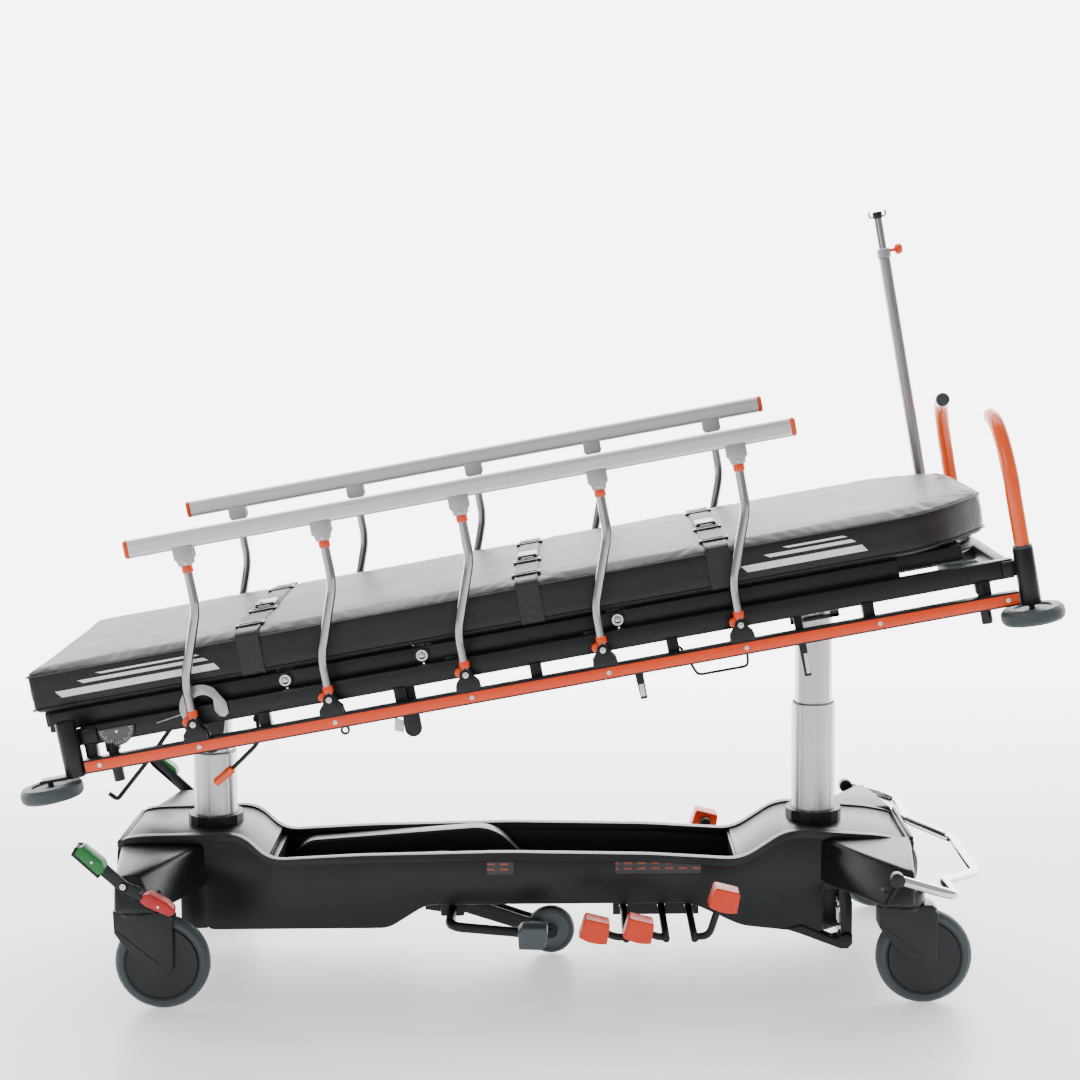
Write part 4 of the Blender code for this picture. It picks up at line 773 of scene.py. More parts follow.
def make_brake():
    """The shaft with a green and a red rocker pad on each side."""
    x, z = BRAKE
    shaft = [rod((x, -0.400, z), (x, 0.400, z), 0.0063, 24)]
    upper = [(-0.126, -0.006), (-0.129, 0.010), (-0.122, 0.016), (-0.060, 0.014), (0.004, 0.012),
            (0.012, 0.004), (0.010, -0.012), (-0.014, -0.0125), (-0.050, -0.012), (-0.112, -0.011)]
    lower = [(-0.006, 0.011), (0.030, 0.013), (0.060, 0.006), (0.112, 0.0000), (0.118, -0.006),
            (0.110, -0.012), (0.050, -0.013), (-0.008, -0.011)]
    green = [(-0.120, -0.004), (-0.123, 0.010), (-0.117, 0.020), (-0.066, 0.0225), (-0.054, 0.016),
            (-0.050, 0.004), (-0.056, -0.006)]
    red = [(0.046, -0.004), (0.046, 0.012), (0.056, 0.0195), (0.096, 0.0180), (0.114, 0.012),
            (0.119, 0.001), (0.113, -0.0075), (0.060, -0.008)]
    trays, greens, reds, dots = [], [], [], []
    rise = Matrix.Translation((x, 0, z)) @ Matrix.Rotation(GREEN_SLOPE, 4, "Y")
    fall = Matrix.Translation((x, 0, z)) @ Matrix.Rotation(RED_SLOPE, 4, "Y")
    for side in (-1, 1):
        trays.append(turned(prism(upper, span(side, 0.3905, 0.3995), 0.002), rise))
        trays.append(turned(prism(lower, span(side, 0.3905, 0.3995), 0.002), fall))
        trays.append(turned(prism([(-0.124, -0.0085), (-0.128, 0.008), (-0.124, 0.0125), (-0.120, -0.001),
                (-0.056, -0.004), (-0.050, -0.010)], span(side, 0.3905, 0.4295), 0.001), rise))
        trays.append(turned(prism([(0.036, 0.004), (0.036, 0.010), (0.112, 0.000), (0.118, -0.002),
                (0.112, -0.009)], span(side, 0.3915, 0.4285), 0.002), fall))
        greens.append(turned(prism(green, span(side, 0.3915, 0.4300), 0.0045, 3), rise))
        reds.append(turned(prism(red, span(side, 0.3950, 0.4295), 0.0045, 3), fall))
        face = side * 0.4300
        for matrix, place in ((rise, (-0.082, 0.008)), (fall, (0.084, 0.003))):
            spot = rod((place[0], face, place[1]), (place[0], face + side * 0.0006, place[1]), 0.0028, 16)
            dots.append(turned(spot, matrix))
    piece("brake_levers", "brake_pedals", "powder", shaft + trays, replaces=("brake_pedals",),
            slot="powder_black")
    piece("brake_pads_green", "brake_pedals", "green", greens, slot="orange")
    piece("brake_pads_red", "brake_pedals", "red", reds, slot="orange")
    piece("brake_pad_dots", "brake_pedals", "print_white", dots, slot="orange")
    for side, label in SIDES:
        screw_row(f"brake_screws_{label}", "brake_pedals", (x, side * 0.4000, z), (0.1, 0, 0), 1, 0.0065,
                place=Matrix.Identity(4))


def make_brake_bar():
    """The chrome bar bent round the head end."""
    x, z = BRAKE_BAR
    half = [(x + 0.002, 0.4005, z), (x + 0.088, 0.4015, 0.2555), (x + 0.121, 0.388, 0.2440),
            (x + 0.121, 0.262, 0.2365), (x + 0.134, 0.240, 0.2330), (x + 0.212, 0.136, 0.2185)]
    path = [(a, -b, c) for a, b, c in half] + [(a, b, c) for a, b, c in reversed(half)]
    piece("brake_bar_tube", "brake_bar", "chrome", [tube(rounded_path(path, 0.022, 8), 0.0105, 28)],
            replaces=("brake_bar",), slot="chrome")
    shapes = [rod((x, side * 0.3885, z), (x, side * 0.4130, z), 0.0155, 36, 0.003) for side in (-1, 1)]
    piece("brake_bar_bosses", "brake_bar", "moulded", shapes, slot="moulded_black")


def make_foot_pedals():
    """Two pump pedals and a release pedal with ribbed pads."""
    names = ("foot_pump_pedal", "release_pedal", "head_pump_pedal")
    for name, (x, z), (pad_x, pad_z) in zip(names, PUMP_SHAFTS, PEDAL_PADS):
        arms = [rod((x, -0.297, z), (x, 0.297, z), 0.0079, 24, 0.001)]
        blocks = []
        for side in (-1, 1):
            arms.append(tube(rounded_path([(x, side * 0.284, z), ((x + pad_x) / 2, side * 0.286, z + 0.004),
                                           (pad_x, side * 0.286, pad_z)], 0.02), 0.0078, 16))
            arms.append(rod((pad_x, side * 0.276, pad_z), (pad_x, side * 0.300, pad_z), 0.0125, 24, 0.002))
            lean = (Matrix.Translation((pad_x, side * 0.320, pad_z))
                    @ Matrix.Rotation(math.radians(14), 4, "Y"))
            face = arc((0.0, 0.066), 0.092, 251, 289, 8) + [(0.0275, 0.017), (0.024, 0.0225),
                    (-0.024, 0.0225), (-0.0275, 0.017)]
            block = prism(face, tuple(sorted((-side * 0.027, side * 0.0255))), 0.0035, 3)
            blocks.append(turned(block, lean))
        piece(f"{name}_arms", name, "powder", arms, replaces=(name,), slot="powder_black")
        piece(f"{name}_pads", name, "orange_pad", blocks, slot="orange")


def make_fifth_wheel():
    """The steering wheel, its fork and its side pedal."""
    x, z = FIFTH_WHEEL
    px, pz = FIFTH_PIVOT
    plan = arc((px, pz), 0.018, 60, 240, 8) + arc((x, z), 0.016, 240, 420, 8)
    shapes = [prism(plan, tuple(sorted((way * 0.0160, way * 0.0215))), 0.0015) for way in (-1, 1)]
    shapes.append(rod((px, -0.064, pz), (px, 0.064, pz), 0.0079, 24, 0.001))
    shapes.append(rod((x, -0.0245, z), (x, 0.0245, z), 0.0062, 24, 0.001))
    shapes.append(tube(rounded_path([(px, -0.060, pz), (px, -0.205, pz), (px + 0.150, -0.212, pz - 0.012),
            (px + 0.168, -0.236, pz - 0.013)], 0.035, 8), 0.0105, 24))
    shapes.append(box((px - 0.026, px + 0.026), (-0.082, -0.052), (0.112, 0.152), 0.003))
    mid = (px + 0.096, pz - 0.030)
    piece("fifth_wheel_fork", "fifth_wheel_arm", "powder", shapes, replaces=("fifth_wheel_arm",),
            slot="powder_black")
    pad_x = mid[0] + 0.082
    pad = [(pad_x - 0.028, 0.094), (pad_x - 0.030, 0.132), (pad_x - 0.020, 0.1420), (pad_x + 0.032, 0.1415),
            (pad_x + 0.034, 0.128), (pad_x + 0.028, 0.098), (pad_x + 0.018, 0.0920)]
    piece("fifth_wheel_pad", "fifth_wheel_arm", "grey_pad", [prism(pad, (-0.266, -0.214), 0.005, 3)],
          replaces=("fifth_wheel_pedal",), slot="grey_rubber")
    tread = [(0.041, -0.012), (0.046, -0.0139), (0.0505, -0.0125), (0.0535, -0.006), (0.054, 0.0),
            (0.0535, 0.006), (0.0505, 0.0125), (0.046, 0.0139), (0.041, 0.012)]
    piece("fifth_wheel_tyre", "fifth_wheel", "tyre", [shifted(lathe(tread, 56, "Y"), x, 0, z)],
            replaces=("fifth_wheel",), slot="tyre_grey")
    hub = [(0.0, -0.0115), (0.014, -0.0135), (0.020, -0.010), (0.036, -0.009), (0.0412, -0.0118),
            (0.0412, 0.0118), (0.036, 0.009), (0.020, 0.010), (0.014, 0.0135), (0.0, 0.0115)]
    piece("fifth_wheel_hub", "fifth_wheel", "grey_pad", [shifted(lathe(hub, 48, "Y"), x, 0, z)],
            slot="grey_rubber")


def fluted(x, radius, low, high, inner=0.0):
    """A column tube with eight shallow grooves down it; an inner radius gives it an open top."""
    sides = 112
    bm = bmesh.new()
    rings = []
    for z in (low, high - 0.002, high):
        ring = []
        for k in range(sides):
            angle = 2 * math.pi * k / sides
            groove = 0.0012 * max(0.0, 1 - abs(((angle * 8 / (2 * math.pi) + 0.5) % 1.0) - 0.5) / 0.06)
            r = radius - groove - (0.0012 if z == high else 0)
            ring.append(bm.verts.new((x + r * math.cos(angle), r * math.sin(angle), z)))
        rings.append(ring)
    for a, b in zip(rings, rings[1:]):
        for k in range(sides):
            bm.faces.new((a[k], a[(k + 1) % sides], b[(k + 1) % sides], b[k]))
    if inner:
        top = [bm.verts.new((x + inner * math.cos(2 * math.pi * k / sides),
                inner * math.sin(2 * math.pi * k / sides), high)) for k in range(sides)]
        bottom = [bm.verts.new((v.co.x, v.co.y, low)) for v in top]
        for a, b in ((rings[-1], top), (top, bottom), (bottom, rings[0])):
            for k in range(sides):
                bm.faces.new((a[k], a[(k + 1) % sides], b[(k + 1) % sides], b[k]))
    else:
        bm.faces.new(rings[0])
        bm.faces.new(rings[-1])
    bmesh.ops.recalc_face_normals(bm, faces=bm.faces)
    return bm


def make_columns():
    """The telescopic stages of both columns."""
    pin_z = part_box("head_inner_tube")[1][2] - 0.028
    stages = (("foot_middle_tube", "foot_middle", FOOT_X, OUTER_STAGE, INNER_STAGE + 0.0006),
              ("head_middle_tube", "head_middle", HEAD_X, OUTER_STAGE, RAM_STAGE + 0.0006),
              ("head_ram_tube", "head_ram", HEAD_X, RAM_STAGE, INNER_STAGE + 0.0006))
    for node, body, x, radius, inner in stages:
        low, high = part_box(node)
        piece(f"{node}_profile", body, "anodised", [fluted(x, radius, low[2], high[2], inner)],
                replaces=(node,), slot="anodised", sharp=25)
        lip = [(radius - 0.0035, 0.0), (radius + 0.0006, 0.0), (radius + 0.0008, 0.003),
                (radius - 0.0015, 0.0045), (radius - 0.0035, 0.004)]
        piece(f"{node}_lip", body, "rail_silver", [shifted(lathe(lip, 56), x, 0, high[2] - 0.0042)],
                slot="anodised")
    for node, body, x, z in (("foot_inner_tube", "foot_inner", FOOT_X, HINGE.z),
            ("head_inner_tube", "head_inner", HEAD_X, pin_z)):
        low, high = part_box(node)
        tube_shape = fluted(x, INNER_STAGE, low[2], high[2])
        pin = rod((x, -0.0565, z), (x, 0.0565, z), 0.0078 if x > 0 else 0.0098, 28, 0.001)
        piece(f"{node}_profile", body, "anodised", [tube_shape, pin], replaces=(node,), slot="anodised",
                sharp=25)


# ---- platform ------------------------------------------------------------------------------------
def make_frame():
    """The platform's tubes, corner posts, brackets and bumper bolts."""
    shapes = []
    for side in (-1, 1):
        shapes.append(box((FRAME_FOOT, FRAME_HEAD), span(side, 0.3175, 0.3425), (-0.010, 0.030), 0.003))
        shapes.append(box((-0.262, -0.205), span(side, 0.3200, 0.3480), (-0.006, 0.026), 0.003))
        shapes.append(box((1.680, 1.722), span(side, 0.3200, 0.3480), (-0.006, 0.026), 0.003))
        for u in STANDOFFS:
            shapes.append(box((u - 0.012, u + 0.012), span(side, 0.322, 0.3474), (-0.059, -0.006), 0.0015))
        plan = [(-0.112, -0.004), (-0.072, -0.113)]
        plan += arc((HINGE_U, HINGE_W), 0.027, 200, 340, 8) + [(0.021, -0.004)]
        shapes.append(prism(plan, span(side, 0.0432, 0.0508), 0.0015))
        shapes.append(box((1.262, 1.370), span(side, 0.0435, 0.0505), (-0.078, -0.069), 0.001))
        shapes.append(box((1.262, 1.282), span(side, 0.0435, 0.0505), (-0.078, -0.004), 0.001))
        shapes.append(box((1.350, 1.370), span(side, 0.0435, 0.0505), (-0.078, -0.004), 0.001))
        shapes.append(box((1.262, 1.370), span(side, 0.0435, 0.0505), (-0.042, -0.004), 0.001))
        shapes.append(box((-0.105, 0.345), span(side, 0.0445, 0.0495), (-0.009, 0.020), 0.001))
        shapes.append(box((1.168, 1.702), span(side, 0.0445, 0.0495), (-0.009, 0.020), 0.001))
        for u in (THIGH_U + 0.060, BACK_U - 0.060):
            shapes.append(box((u - 0.015, u + 0.015), span(side, 0.262, 0.322), (-0.004, 0.0355), 0.002))
    for u in CROSS_MEMBERS:
        shapes.append(box((u - 0.0125, u + 0.0125), (-0.322, 0.322), (-0.008, 0.024), 0.002))
    shapes.append(rod((POLE_U, POLE_Y, -0.040), (POLE_U, POLE_Y, 0.030), 0.0185, 32, 0.002))
    shapes.append(box((1.635, 1.655), (0.318, 0.326), (-0.006, 0.026), 0.001))
    platform_piece("frame_tubes", "powder", shapes, replaces=("platform_frame",), slot="powder_black")
    shapes = []
    for side in (-1, 1):
        for u, bolt_u in ((HEAD_CORNER_U, HEAD_CORNER_U), (FOOT_CORNER_U, FOOT_CORNER_U - BUMPER_OFFSET)):
            y = side * CORNER_Y
            shapes.append(rod((u, y, -0.065), (u, y, 0.052), 0.0210, 48, 0.002))
            if u < 0:
                shapes.append(box((bolt_u - 0.018, u), (y - 0.017, y + 0.017), (-0.0645, -0.0585), 0.002))
    platform_piece("corner_posts", "powder", shapes, slot="powder_black")
    shapes = [rod((HEAD_CORNER_U, side * CORNER_Y, 0.0495), (HEAD_CORNER_U, side * CORNER_Y, 0.0575),
            0.0198, 40, 0.002) for side in (-1, 1)]
    platform_piece("corner_post_caps", "tyre", shapes, slot="grey_rubber")
    shapes = []
    for side in (-1, 1):
        for u in (HEAD_CORNER_U, FOOT_CORNER_U - BUMPER_OFFSET):
            shapes.append(rod((u, side * CORNER_Y, -0.110), (u, side * CORNER_Y, -0.060), 0.006, 20, 0.001))
            shapes.append(rod((u, side * CORNER_Y, -0.1105), (u, side * CORNER_Y, -0.1032), 0.0115, 6,
                    0.001))
    platform_piece("bumper_bolts", "powder", shapes, slot="powder_black")


def make_bumpers():
    """A grey roller at each corner."""
    disc = [(0.0075, -0.0120), (0.022, -0.0120), (0.026, -0.0150), (0.050, -0.0160), (0.0590, -0.0145),
            (0.0640, -0.0085), (0.0650, 0.0), (0.0640, 0.0085), (0.0590, 0.0145), (0.050, 0.0160),
            (0.040, 0.0150), (0.037, 0.0115), (0.022, 0.0115), (0.0075, 0.0120)]
    for end, u in (("head", HEAD_CORNER_U), ("foot", FOOT_CORNER_U - BUMPER_OFFSET)):
        for side, label in SIDES:
            node = f"bumper_{end}_{label}"
            platform_piece(f"{node}_roller", "tyre", [shifted(lathe(disc, 64), u, side * CORNER_Y,
                    BUMPER_W)], node, replaces=(node,), slot="grey_rubber")


def make_handles():
    """Two bent push handles with end caps."""
    for side, label in SIDES:
        node = f"push_handle_{label}"
        y = side * CORNER_Y
        path = [(HEAD_CORNER_U, y, -0.026), (HEAD_CORNER_U, y, 0.080), (HEAD_CORNER_U - 0.001, y, 0.160)]
        for k in range(1, 13):
            angle = math.radians(90 * k / 13)
            path.append((HEAD_CORNER_U - 0.004 * k / 12, y - side * 0.080 * (1 - math.cos(angle)),
                    0.165 + 0.150 * math.sin(angle)))
        end = (HEAD_CORNER_U - 0.004, y - side * 0.086, 0.3165)
        path.append(end)
        platform_piece(f"{node}_tube", "orange_gloss", [tube(path, 0.016, 32)], node, replaces=(node,),
                slot="orange")
        cap = rod(end, (end[0], y - side * 0.093, 0.3172), 0.0158, 32, 0.004)
        platform_piece(f"{node}_cap", "tyre", [cap], node, slot="grey_rubber")


def make_accessory_rails():
    """The rail along each side with its orange band, post brackets and screws."""
    for side, label in SIDES:
        y = side * RAIL_Y
        outer = side * 0.0138
        section = [(y - 0.0138, -0.0618), (y + 0.0138, -0.0618), (y + 0.0138, -0.0332),
                (y - 0.0138, -0.0332)]
        bar = softened(extrusion(section, (-0.2375, 1.7010)), 0.0015)
        platform_piece(f"accessory_bar_{label}", "powder", [bar], replaces=(f"accessory_rail_{label}",),
                slot="powder_black")
        low, high = sorted((y + outer * 0.93, y + outer * 1.045))
        band = box((-0.2365, 1.7000), (low, high), (-0.0582, -0.0368), 0.0009)
        platform_piece(f"accessory_band_{label}", "orange_satin", [band], slot="orange_rail")
        cheeks, stops = [], []
        for index in range(POSTS):
            u = index * PITCH
            plan = [(u - 0.026, -0.034), (u + 0.026, -0.034), (u + 0.024, -0.018), (u + 0.014, -0.006)]
            plan += arc((u, 0.0), 0.0125, 10, 170, 6) + [(u - 0.014, -0.006), (u - 0.024, -0.018)]
            for way in (-1, 1):
                face = y + way * 0.0138
                cheeks.append(prism(plan, tuple(sorted((face, face - way * 0.003))), 0.0008))
            stops.append(rod((u - 0.0130, y - 0.0100, 0.006), (u - 0.0130, y + 0.0100, 0.006), 0.0088, 28,
                    0.002))
        platform_piece(f"post_brackets_{label}", "powder", cheeks, slot="powder_black")
        platform_piece(f"post_stops_{label}", "orange_satin", stops, slot="orange")
        face = y + side * 0.0148
        screw_row(f"rail_screws_{label}", "platform", (0.004, face, -0.0475), (PITCH, 0, 0), POSTS, 0.0048)
        screw_row(f"rail_end_screws_{label}", "platform", (-0.205, face, -0.0475), (0.0, 0, 0.0), 1, 0.0048)
        screw_row(f"rail_head_screws_{label}", "platform", (1.415, face, -0.0475), (0.262, 0, 0), 2, 0.0048)
        screw_row(f"pivot_screws_{label}", "platform", (0.0, y + side * 0.0140, 0.0), (PITCH, 0, 0), POSTS,
                0.0062)


def post_path(index, y):
    """The bent line of one siderail post."""
    u = index * PITCH
    return rounded_path([(u, y, -0.011), (u, y, 0.088), (u + LEAN, y, 0.232), (u + LEAN, y, RISE + 0.010)],
            0.026, 8)


def make_siderails():
    """Five posts on each side with the rail on top of them, its clamps and its end caps."""
    for side, label in SIDES:
        y = side * RAIL_Y
        for index in range(POSTS):
            node = f"siderail_post_{label}_{index + 1}"
            path = post_path(index, y)
            platform_piece(f"{node}_tube", "stainless", [tube(path, 0.0098, 24)], node, replaces=(node,),
                    slot="stainless")
            u = index * PITCH
            low = rod((u + 0.0001, y, 0.0125), (u + 0.0004, y, 0.0275), 0.0112, 28, 0.0015)
            high = rod((u + LEAN, y, RISE - 0.0145), (u + LEAN, y, RISE + 0.0000), 0.0118, 28, 0.0015)
            platform_piece(f"{node}_collars", "orange_satin", [low, high], node, slot="orange")
        body = f"siderail_top_{label}"
        low = RISE + 0.0352
        section = []
        for cy, cw, first in ((0.0045, 0.0285, 0), (-0.0045, 0.0285, 90), (-0.0045, 0.0085, 180),
                (0.0045, 0.0085, 270)):
            section += [(y + cy + 0.0080 * math.cos(math.radians(a)),
                    low + cw + 0.0085 * math.sin(math.radians(a))) for a in range(first, first + 91, 15)]
        platform_piece(f"{body}_profile", "rail_silver", [extrusion(section, (-0.056, 1.305))], body,
                replaces=(body,), slot="anodised")
        # painted shade: two thin darker strips on the rail's sides stand for the shade of its grooves,
        # which the profile does not cut
        lines = [box((-0.055, 1.304), tuple(sorted((y + way * 0.0122, y + way * 0.01285))),
                (low + 0.0272, low + 0.0282), 0.0002) for way in (-1, 1)]
        platform_piece(f"{body}_lines", "clamp_grey", lines, body, slot="anodised")
        caps = []
        for u, way in ((-0.0558, -1), (1.3048, 1)):
            outline = [(y + (py - y) * 1.04, low + 0.0185 + (pw - low - 0.0185) * 1.04)
                       for py, pw in section]
            dome = extrusion(outline, tuple(sorted((u - way * 0.001, u + way * 0.0110))))
            caps.append(softened(dome, 0.0060, 4, 50))
        platform_piece(f"{body}_caps", "orange_satin", caps, body, slot="orange")
        clamps = []
        for index in range(POSTS):
            u = index * PITCH + LEAN
            plan = [(u - 0.0205, low + 0.006), (u - 0.0210, RISE + 0.016), (u - 0.0160, RISE + 0.0105),
                    (u - 0.0140, RISE + 0.0005), (u + 0.0140, RISE + 0.0005), (u + 0.0160, RISE + 0.0105),
                    (u + 0.0210, RISE + 0.016), (u + 0.0205, low + 0.006)]
            for way in (-1, 1):
                face = y + way * 0.0139
                clamps.append(prism(plan, tuple(sorted((face, face - way * 0.003))), 0.001))
            clamps.append(box((u - 0.0185, u + 0.0185), (y - 0.0130, y + 0.0130),
                    (low - 0.005, low + 0.003), 0.001))
        platform_piece(f"{body}_clamps", "clamp_grey", clamps, body, slot="anodised")
        screw_row(f"{body}_screws", body, (LEAN, y + side * 0.0142, RISE + 0.0065), (PITCH, 0, 0), POSTS,
                0.0052)


def make_latches():
    """The hooked lever that locks each siderail."""
    for side, label in SIDES:
        node = f"siderail_latch_{label}"
        outer = arc((0.020, 0.028), 0.047, 20, 205, 14)
        inner = arc((0.022, 0.026), 0.027, 205, 28, 12)
        plan = [(0.072, 0.006), (0.071, 0.030)] + outer[2:] + inner + [(0.044, 0.016), (0.052, 0.003),
                (0.062, -0.001)]
        platform_piece(f"{node}_plate", "clamp_grey", [prism(plan, span(side, 0.3436, 0.3470), 0.0010)],
                node, replaces=(node,), slot="anodised")
        screw_row(f"{node}_screw", node, (0.062, side * 0.3470, 0.008), (0.1, 0, 0), 1, 0.0050, 0.0012)
        link = tube([(-0.026, side * 0.3452, 0.020), (-0.050, side * 0.3452, 0.016),
                (-0.078, side * 0.3452, 0.012)], 0.0016, 10)
        platform_piece(f"{node}_link", "zinc", [link], node, slot="anodised")


# ---- deck ----------------------------------------------------------------------------------------
def make_deck():
    """The four hinged deck sections with their side members and pivot bolts."""
    flats = {"outer": (0.2970, 0.3030), "inner": (0.2906, 0.2966)}
    rows = (("leg_section", "leg", -0.315, KNEE_U, "outer"),
            ("thigh_section", "thigh", KNEE_U, THIGH_U, "inner"),
            ("seat_section", "platform", THIGH_U, BACK_U, "outer"),
            ("back_section", "back", BACK_U, 1.615, "inner"))
    for node, body, foot, head, kind in rows:
        low_y, high_y = flats[kind]
        shapes = []
        first, last = foot + (0.019 if foot > -0.3 else 0), head - (0.019 if head < 1.6 else 0)
        shapes.append(box((first, last), (-low_y - 0.002, low_y + 0.002), (0.0595, 0.0678), 0.002))
        for side in (-1, 1):
            plan = []
            plan += arc((head, DECK_PIVOT_W), 0.0148, -90, 90, 8) if head < 1.6 else [(head, 0.0362),
                    (head, 0.0668)]
            plan += arc((foot, DECK_PIVOT_W), 0.0148, 90, 270, 8) if foot > -0.3 else [(foot, 0.0668),
                    (foot, 0.0362)]
            shapes.append(prism(plan, span(side, low_y, high_y), 0.0012))
            start, end = foot + (0.0 if foot > -0.3 else 0.006), head - (0.0 if head < 1.6 else 0.135)
            shapes.append(box((start + 0.0015, end - 0.0015), span(side, 0.3044, 0.3140), (0.0250, 0.0655),
                    0.0025, 3))
            shapes.append(box((start + 0.004, end - 0.004), span(side, 0.3135, 0.3150), (0.0600, 0.0618),
                    0.0006))
            for k in range(3):
                u = first + 0.05 + (last - first - 0.10) * k / 2
                shapes.append(box((u - 0.012, u + 0.012), span(side, 0.02, low_y + 0.002), (0.044, 0.0600),
                        0.002))
        platform_piece(f"{node}_panel", "powder", shapes, body, replaces=(node,), slot="powder_black")
        if node == "back_section":
            side_rail = [(BACK_U + 0.06, 0.2800, 0.0500), (1.47, 0.2800, 0.0500), (1.585, 0.255, 0.0500),
                    (1.655, 0.190, 0.0500)]
            path = side_rail + [(a, -b, c) for a, b, c in reversed(side_rail)]
            hoop = tube(rounded_path(path, 0.06, 6), 0.0110, 20)
            platform_piece("back_hoop", "powder", [hoop], body, slot="powder_black")
    for u, body in ((KNEE_U, "leg"), (THIGH_U, "platform"), (BACK_U, "platform")):
        for side, label in SIDES:
            boss = rod((u, side * 0.3130, DECK_PIVOT_W - 0.004), (u, side * 0.3175, DECK_PIVOT_W - 0.004),
                    0.0165, 32, 0.001)
            name = f"pivot_{'knee' if u == KNEE_U else 'thigh' if u == THIGH_U else 'back'}_{label}"
            platform_piece(f"{name}_washer", "powder", [boss], body, slot="powder_black")
            screw_row(f"{name}_bolt", body, (u, side * 0.3180, DECK_PIVOT_W - 0.004), (0.1, 0, 0), 1,
                    0.0120, 0.005)


# ---- mattress ------------------------------------------------------------------------------------
PAD_LOW, PAD_TOP, PAD_HALF = 0.0705, 0.1600, 0.332
PAD_FOOT, PAD_HEAD = -0.329, 1.688
SEAM_LOW, SEAM_TOP = PAD_LOW + 0.009, PAD_TOP - 0.010
FIRST_CUT, SECOND_CUT = 0.342, 0.712
CLOTH_FRAMES, CLOTH_REACH = 20, 0.004


def half_width(u):
    """The mattress's half width, drawn in round the head end."""
    if u <= 1.50:
        return PAD_HALF
    t = (u - 1.50) / (PAD_HEAD - 1.50)
    return PAD_HALF - 0.150 * t ** 1.7


def grid_lines(low, high, step, edge):
    """Places along a side, closer together near its two ends."""
    near = [0.0, 0.0015, 0.004, 0.0075, 0.012, edge]
    inner = max(2, round((high - low - 2 * edge) / step))
    middle = [low + edge + (high - low - 2 * edge) * k / inner for k in range(1, inner)]
    return [low + n for n in near] + middle + [high - n for n in reversed(near)]


def pad_piece(foot, head, closed_foot, closed_head):
    """A stretch of the mattress as a closed mesh, its free edges rounded and its faces crowned."""
    radius = 0.014
    us = grid_lines(foot, head, 0.020, 0.018)
    ys = [-1.0 + 2.0 * k / 44 for k in range(45)]
    ws = [k / 10 for k in range(11)]
    bm = bmesh.new()
    verts = {}

    def vertex(i, j, k):
        key = (i, j, k)
        if key not in verts:
            u = us[i]
            half = half_width(u)
            p = Vector((u, ys[j] * half, (ws[k] - 0.5) * (PAD_TOP - PAD_LOW)))
            deep = Vector((min(max(p.x, foot + (radius if closed_foot else 0)),
                    head - (radius if closed_head else 0)), min(max(p.y, -half + radius), half - radius),
                    min(max(p.z, -(PAD_TOP - PAD_LOW) / 2 + radius), (PAD_TOP - PAD_LOW) / 2 - radius)))
            out = p - deep
            if out.length > 1e-7:
                p = deep + out.normalized() * radius
            place = Vector((p.x, p.y, p.z + (PAD_TOP + PAD_LOW) / 2))
            rim = min(1.0, (half - abs(place.y)) / 0.10)
            end = min(1.0, (place.x - PAD_FOOT) / 0.12, (PAD_HEAD - place.x) / 0.12)
            if ws[k] > 0.5:
                place.z += 0.0035 * smooth(rim) * smooth(end) * (ws[k] - 0.5) * 2
            swell = math.sin(math.pi * ws[k])
            if abs(ys[j]) > 0.999:
                place.y += math.copysign(0.0022 * swell, place.y)
            waves = noise.noise(Vector((place.x * 7.0, place.y * 9.0, place.z * 14.0)))
            wrinkle = noise.noise(Vector((place.x * 26.0 + 4.0, place.y * 11.0, 2.0)))
            grip = 1 - smooth(min((place.x - PAD_FOOT) / 0.16, (PAD_HEAD - place.x) / 0.30, 1.0))
            if ws[k] > 0.35:
                place.z += 0.0008 * waves + 0.0016 * wrinkle * grip
            verts[key] = bm.verts.new(place)
        return verts[key]

    nu, ny, nw = len(us) - 1, len(ys) - 1, len(ws) - 1
    for i in range(nu):
        for j in range(ny):
            for k in (0, nw):
                bm.faces.new((vertex(i, j, k), vertex(i + 1, j, k), vertex(i + 1, j + 1, k),
                        vertex(i, j + 1, k)))
        for k in range(nw):
            for j in (0, ny):
                bm.faces.new((vertex(i, j, k), vertex(i + 1, j, k), vertex(i + 1, j, k + 1),
                        vertex(i, j, k + 1)))
    for j in range(ny):
        for k in range(nw):
            for i in (0, nu):
                bm.faces.new((vertex(i, j, k), vertex(i, j + 1, k), vertex(i, j + 1, k + 1),
                        vertex(i, j, k + 1)))
    bmesh.ops.recalc_face_normals(bm, faces=bm.faces)
    return bm


def piping(foot, head, w, loops):
    """The sewn edge line along both sides, and round an end where there is one."""
    count = max(4, round((head - foot) / 0.02))
    us = [foot + (head - foot) * k / count for k in range(count + 1)]
    near = [(u, -half_width(u) - 0.0012, w) for u in us]
    far = [(u, half_width(u) + 0.0012, w) for u in us]
    if loops == "foot":
        ends = [(foot - 0.0010, side * (PAD_HALF + 0.0012), w) for side in (-1, 1)]
        return [tube(rounded_path(list(reversed(near[1:])) + ends + far[1:], 0.010, 6), 0.0017, 8)]
    if loops == "head":
        ends = [(head + 0.0006, side * (half_width(head) + 0.0002), w) for side in (-1, 1)]
        return [tube(rounded_path(near[:-1] + ends + list(reversed(far[:-1])), 0.010, 6), 0.0017, 8)]
    return [tube(near, 0.0017, 8), tube(far, 0.0017, 8)]


STRAPS = (("strap_leg", "leg", 0.114, 0.162), ("strap_seat", "platform", 0.699, 0.747),
        ("strap_back", "back", 1.094, 1.142))


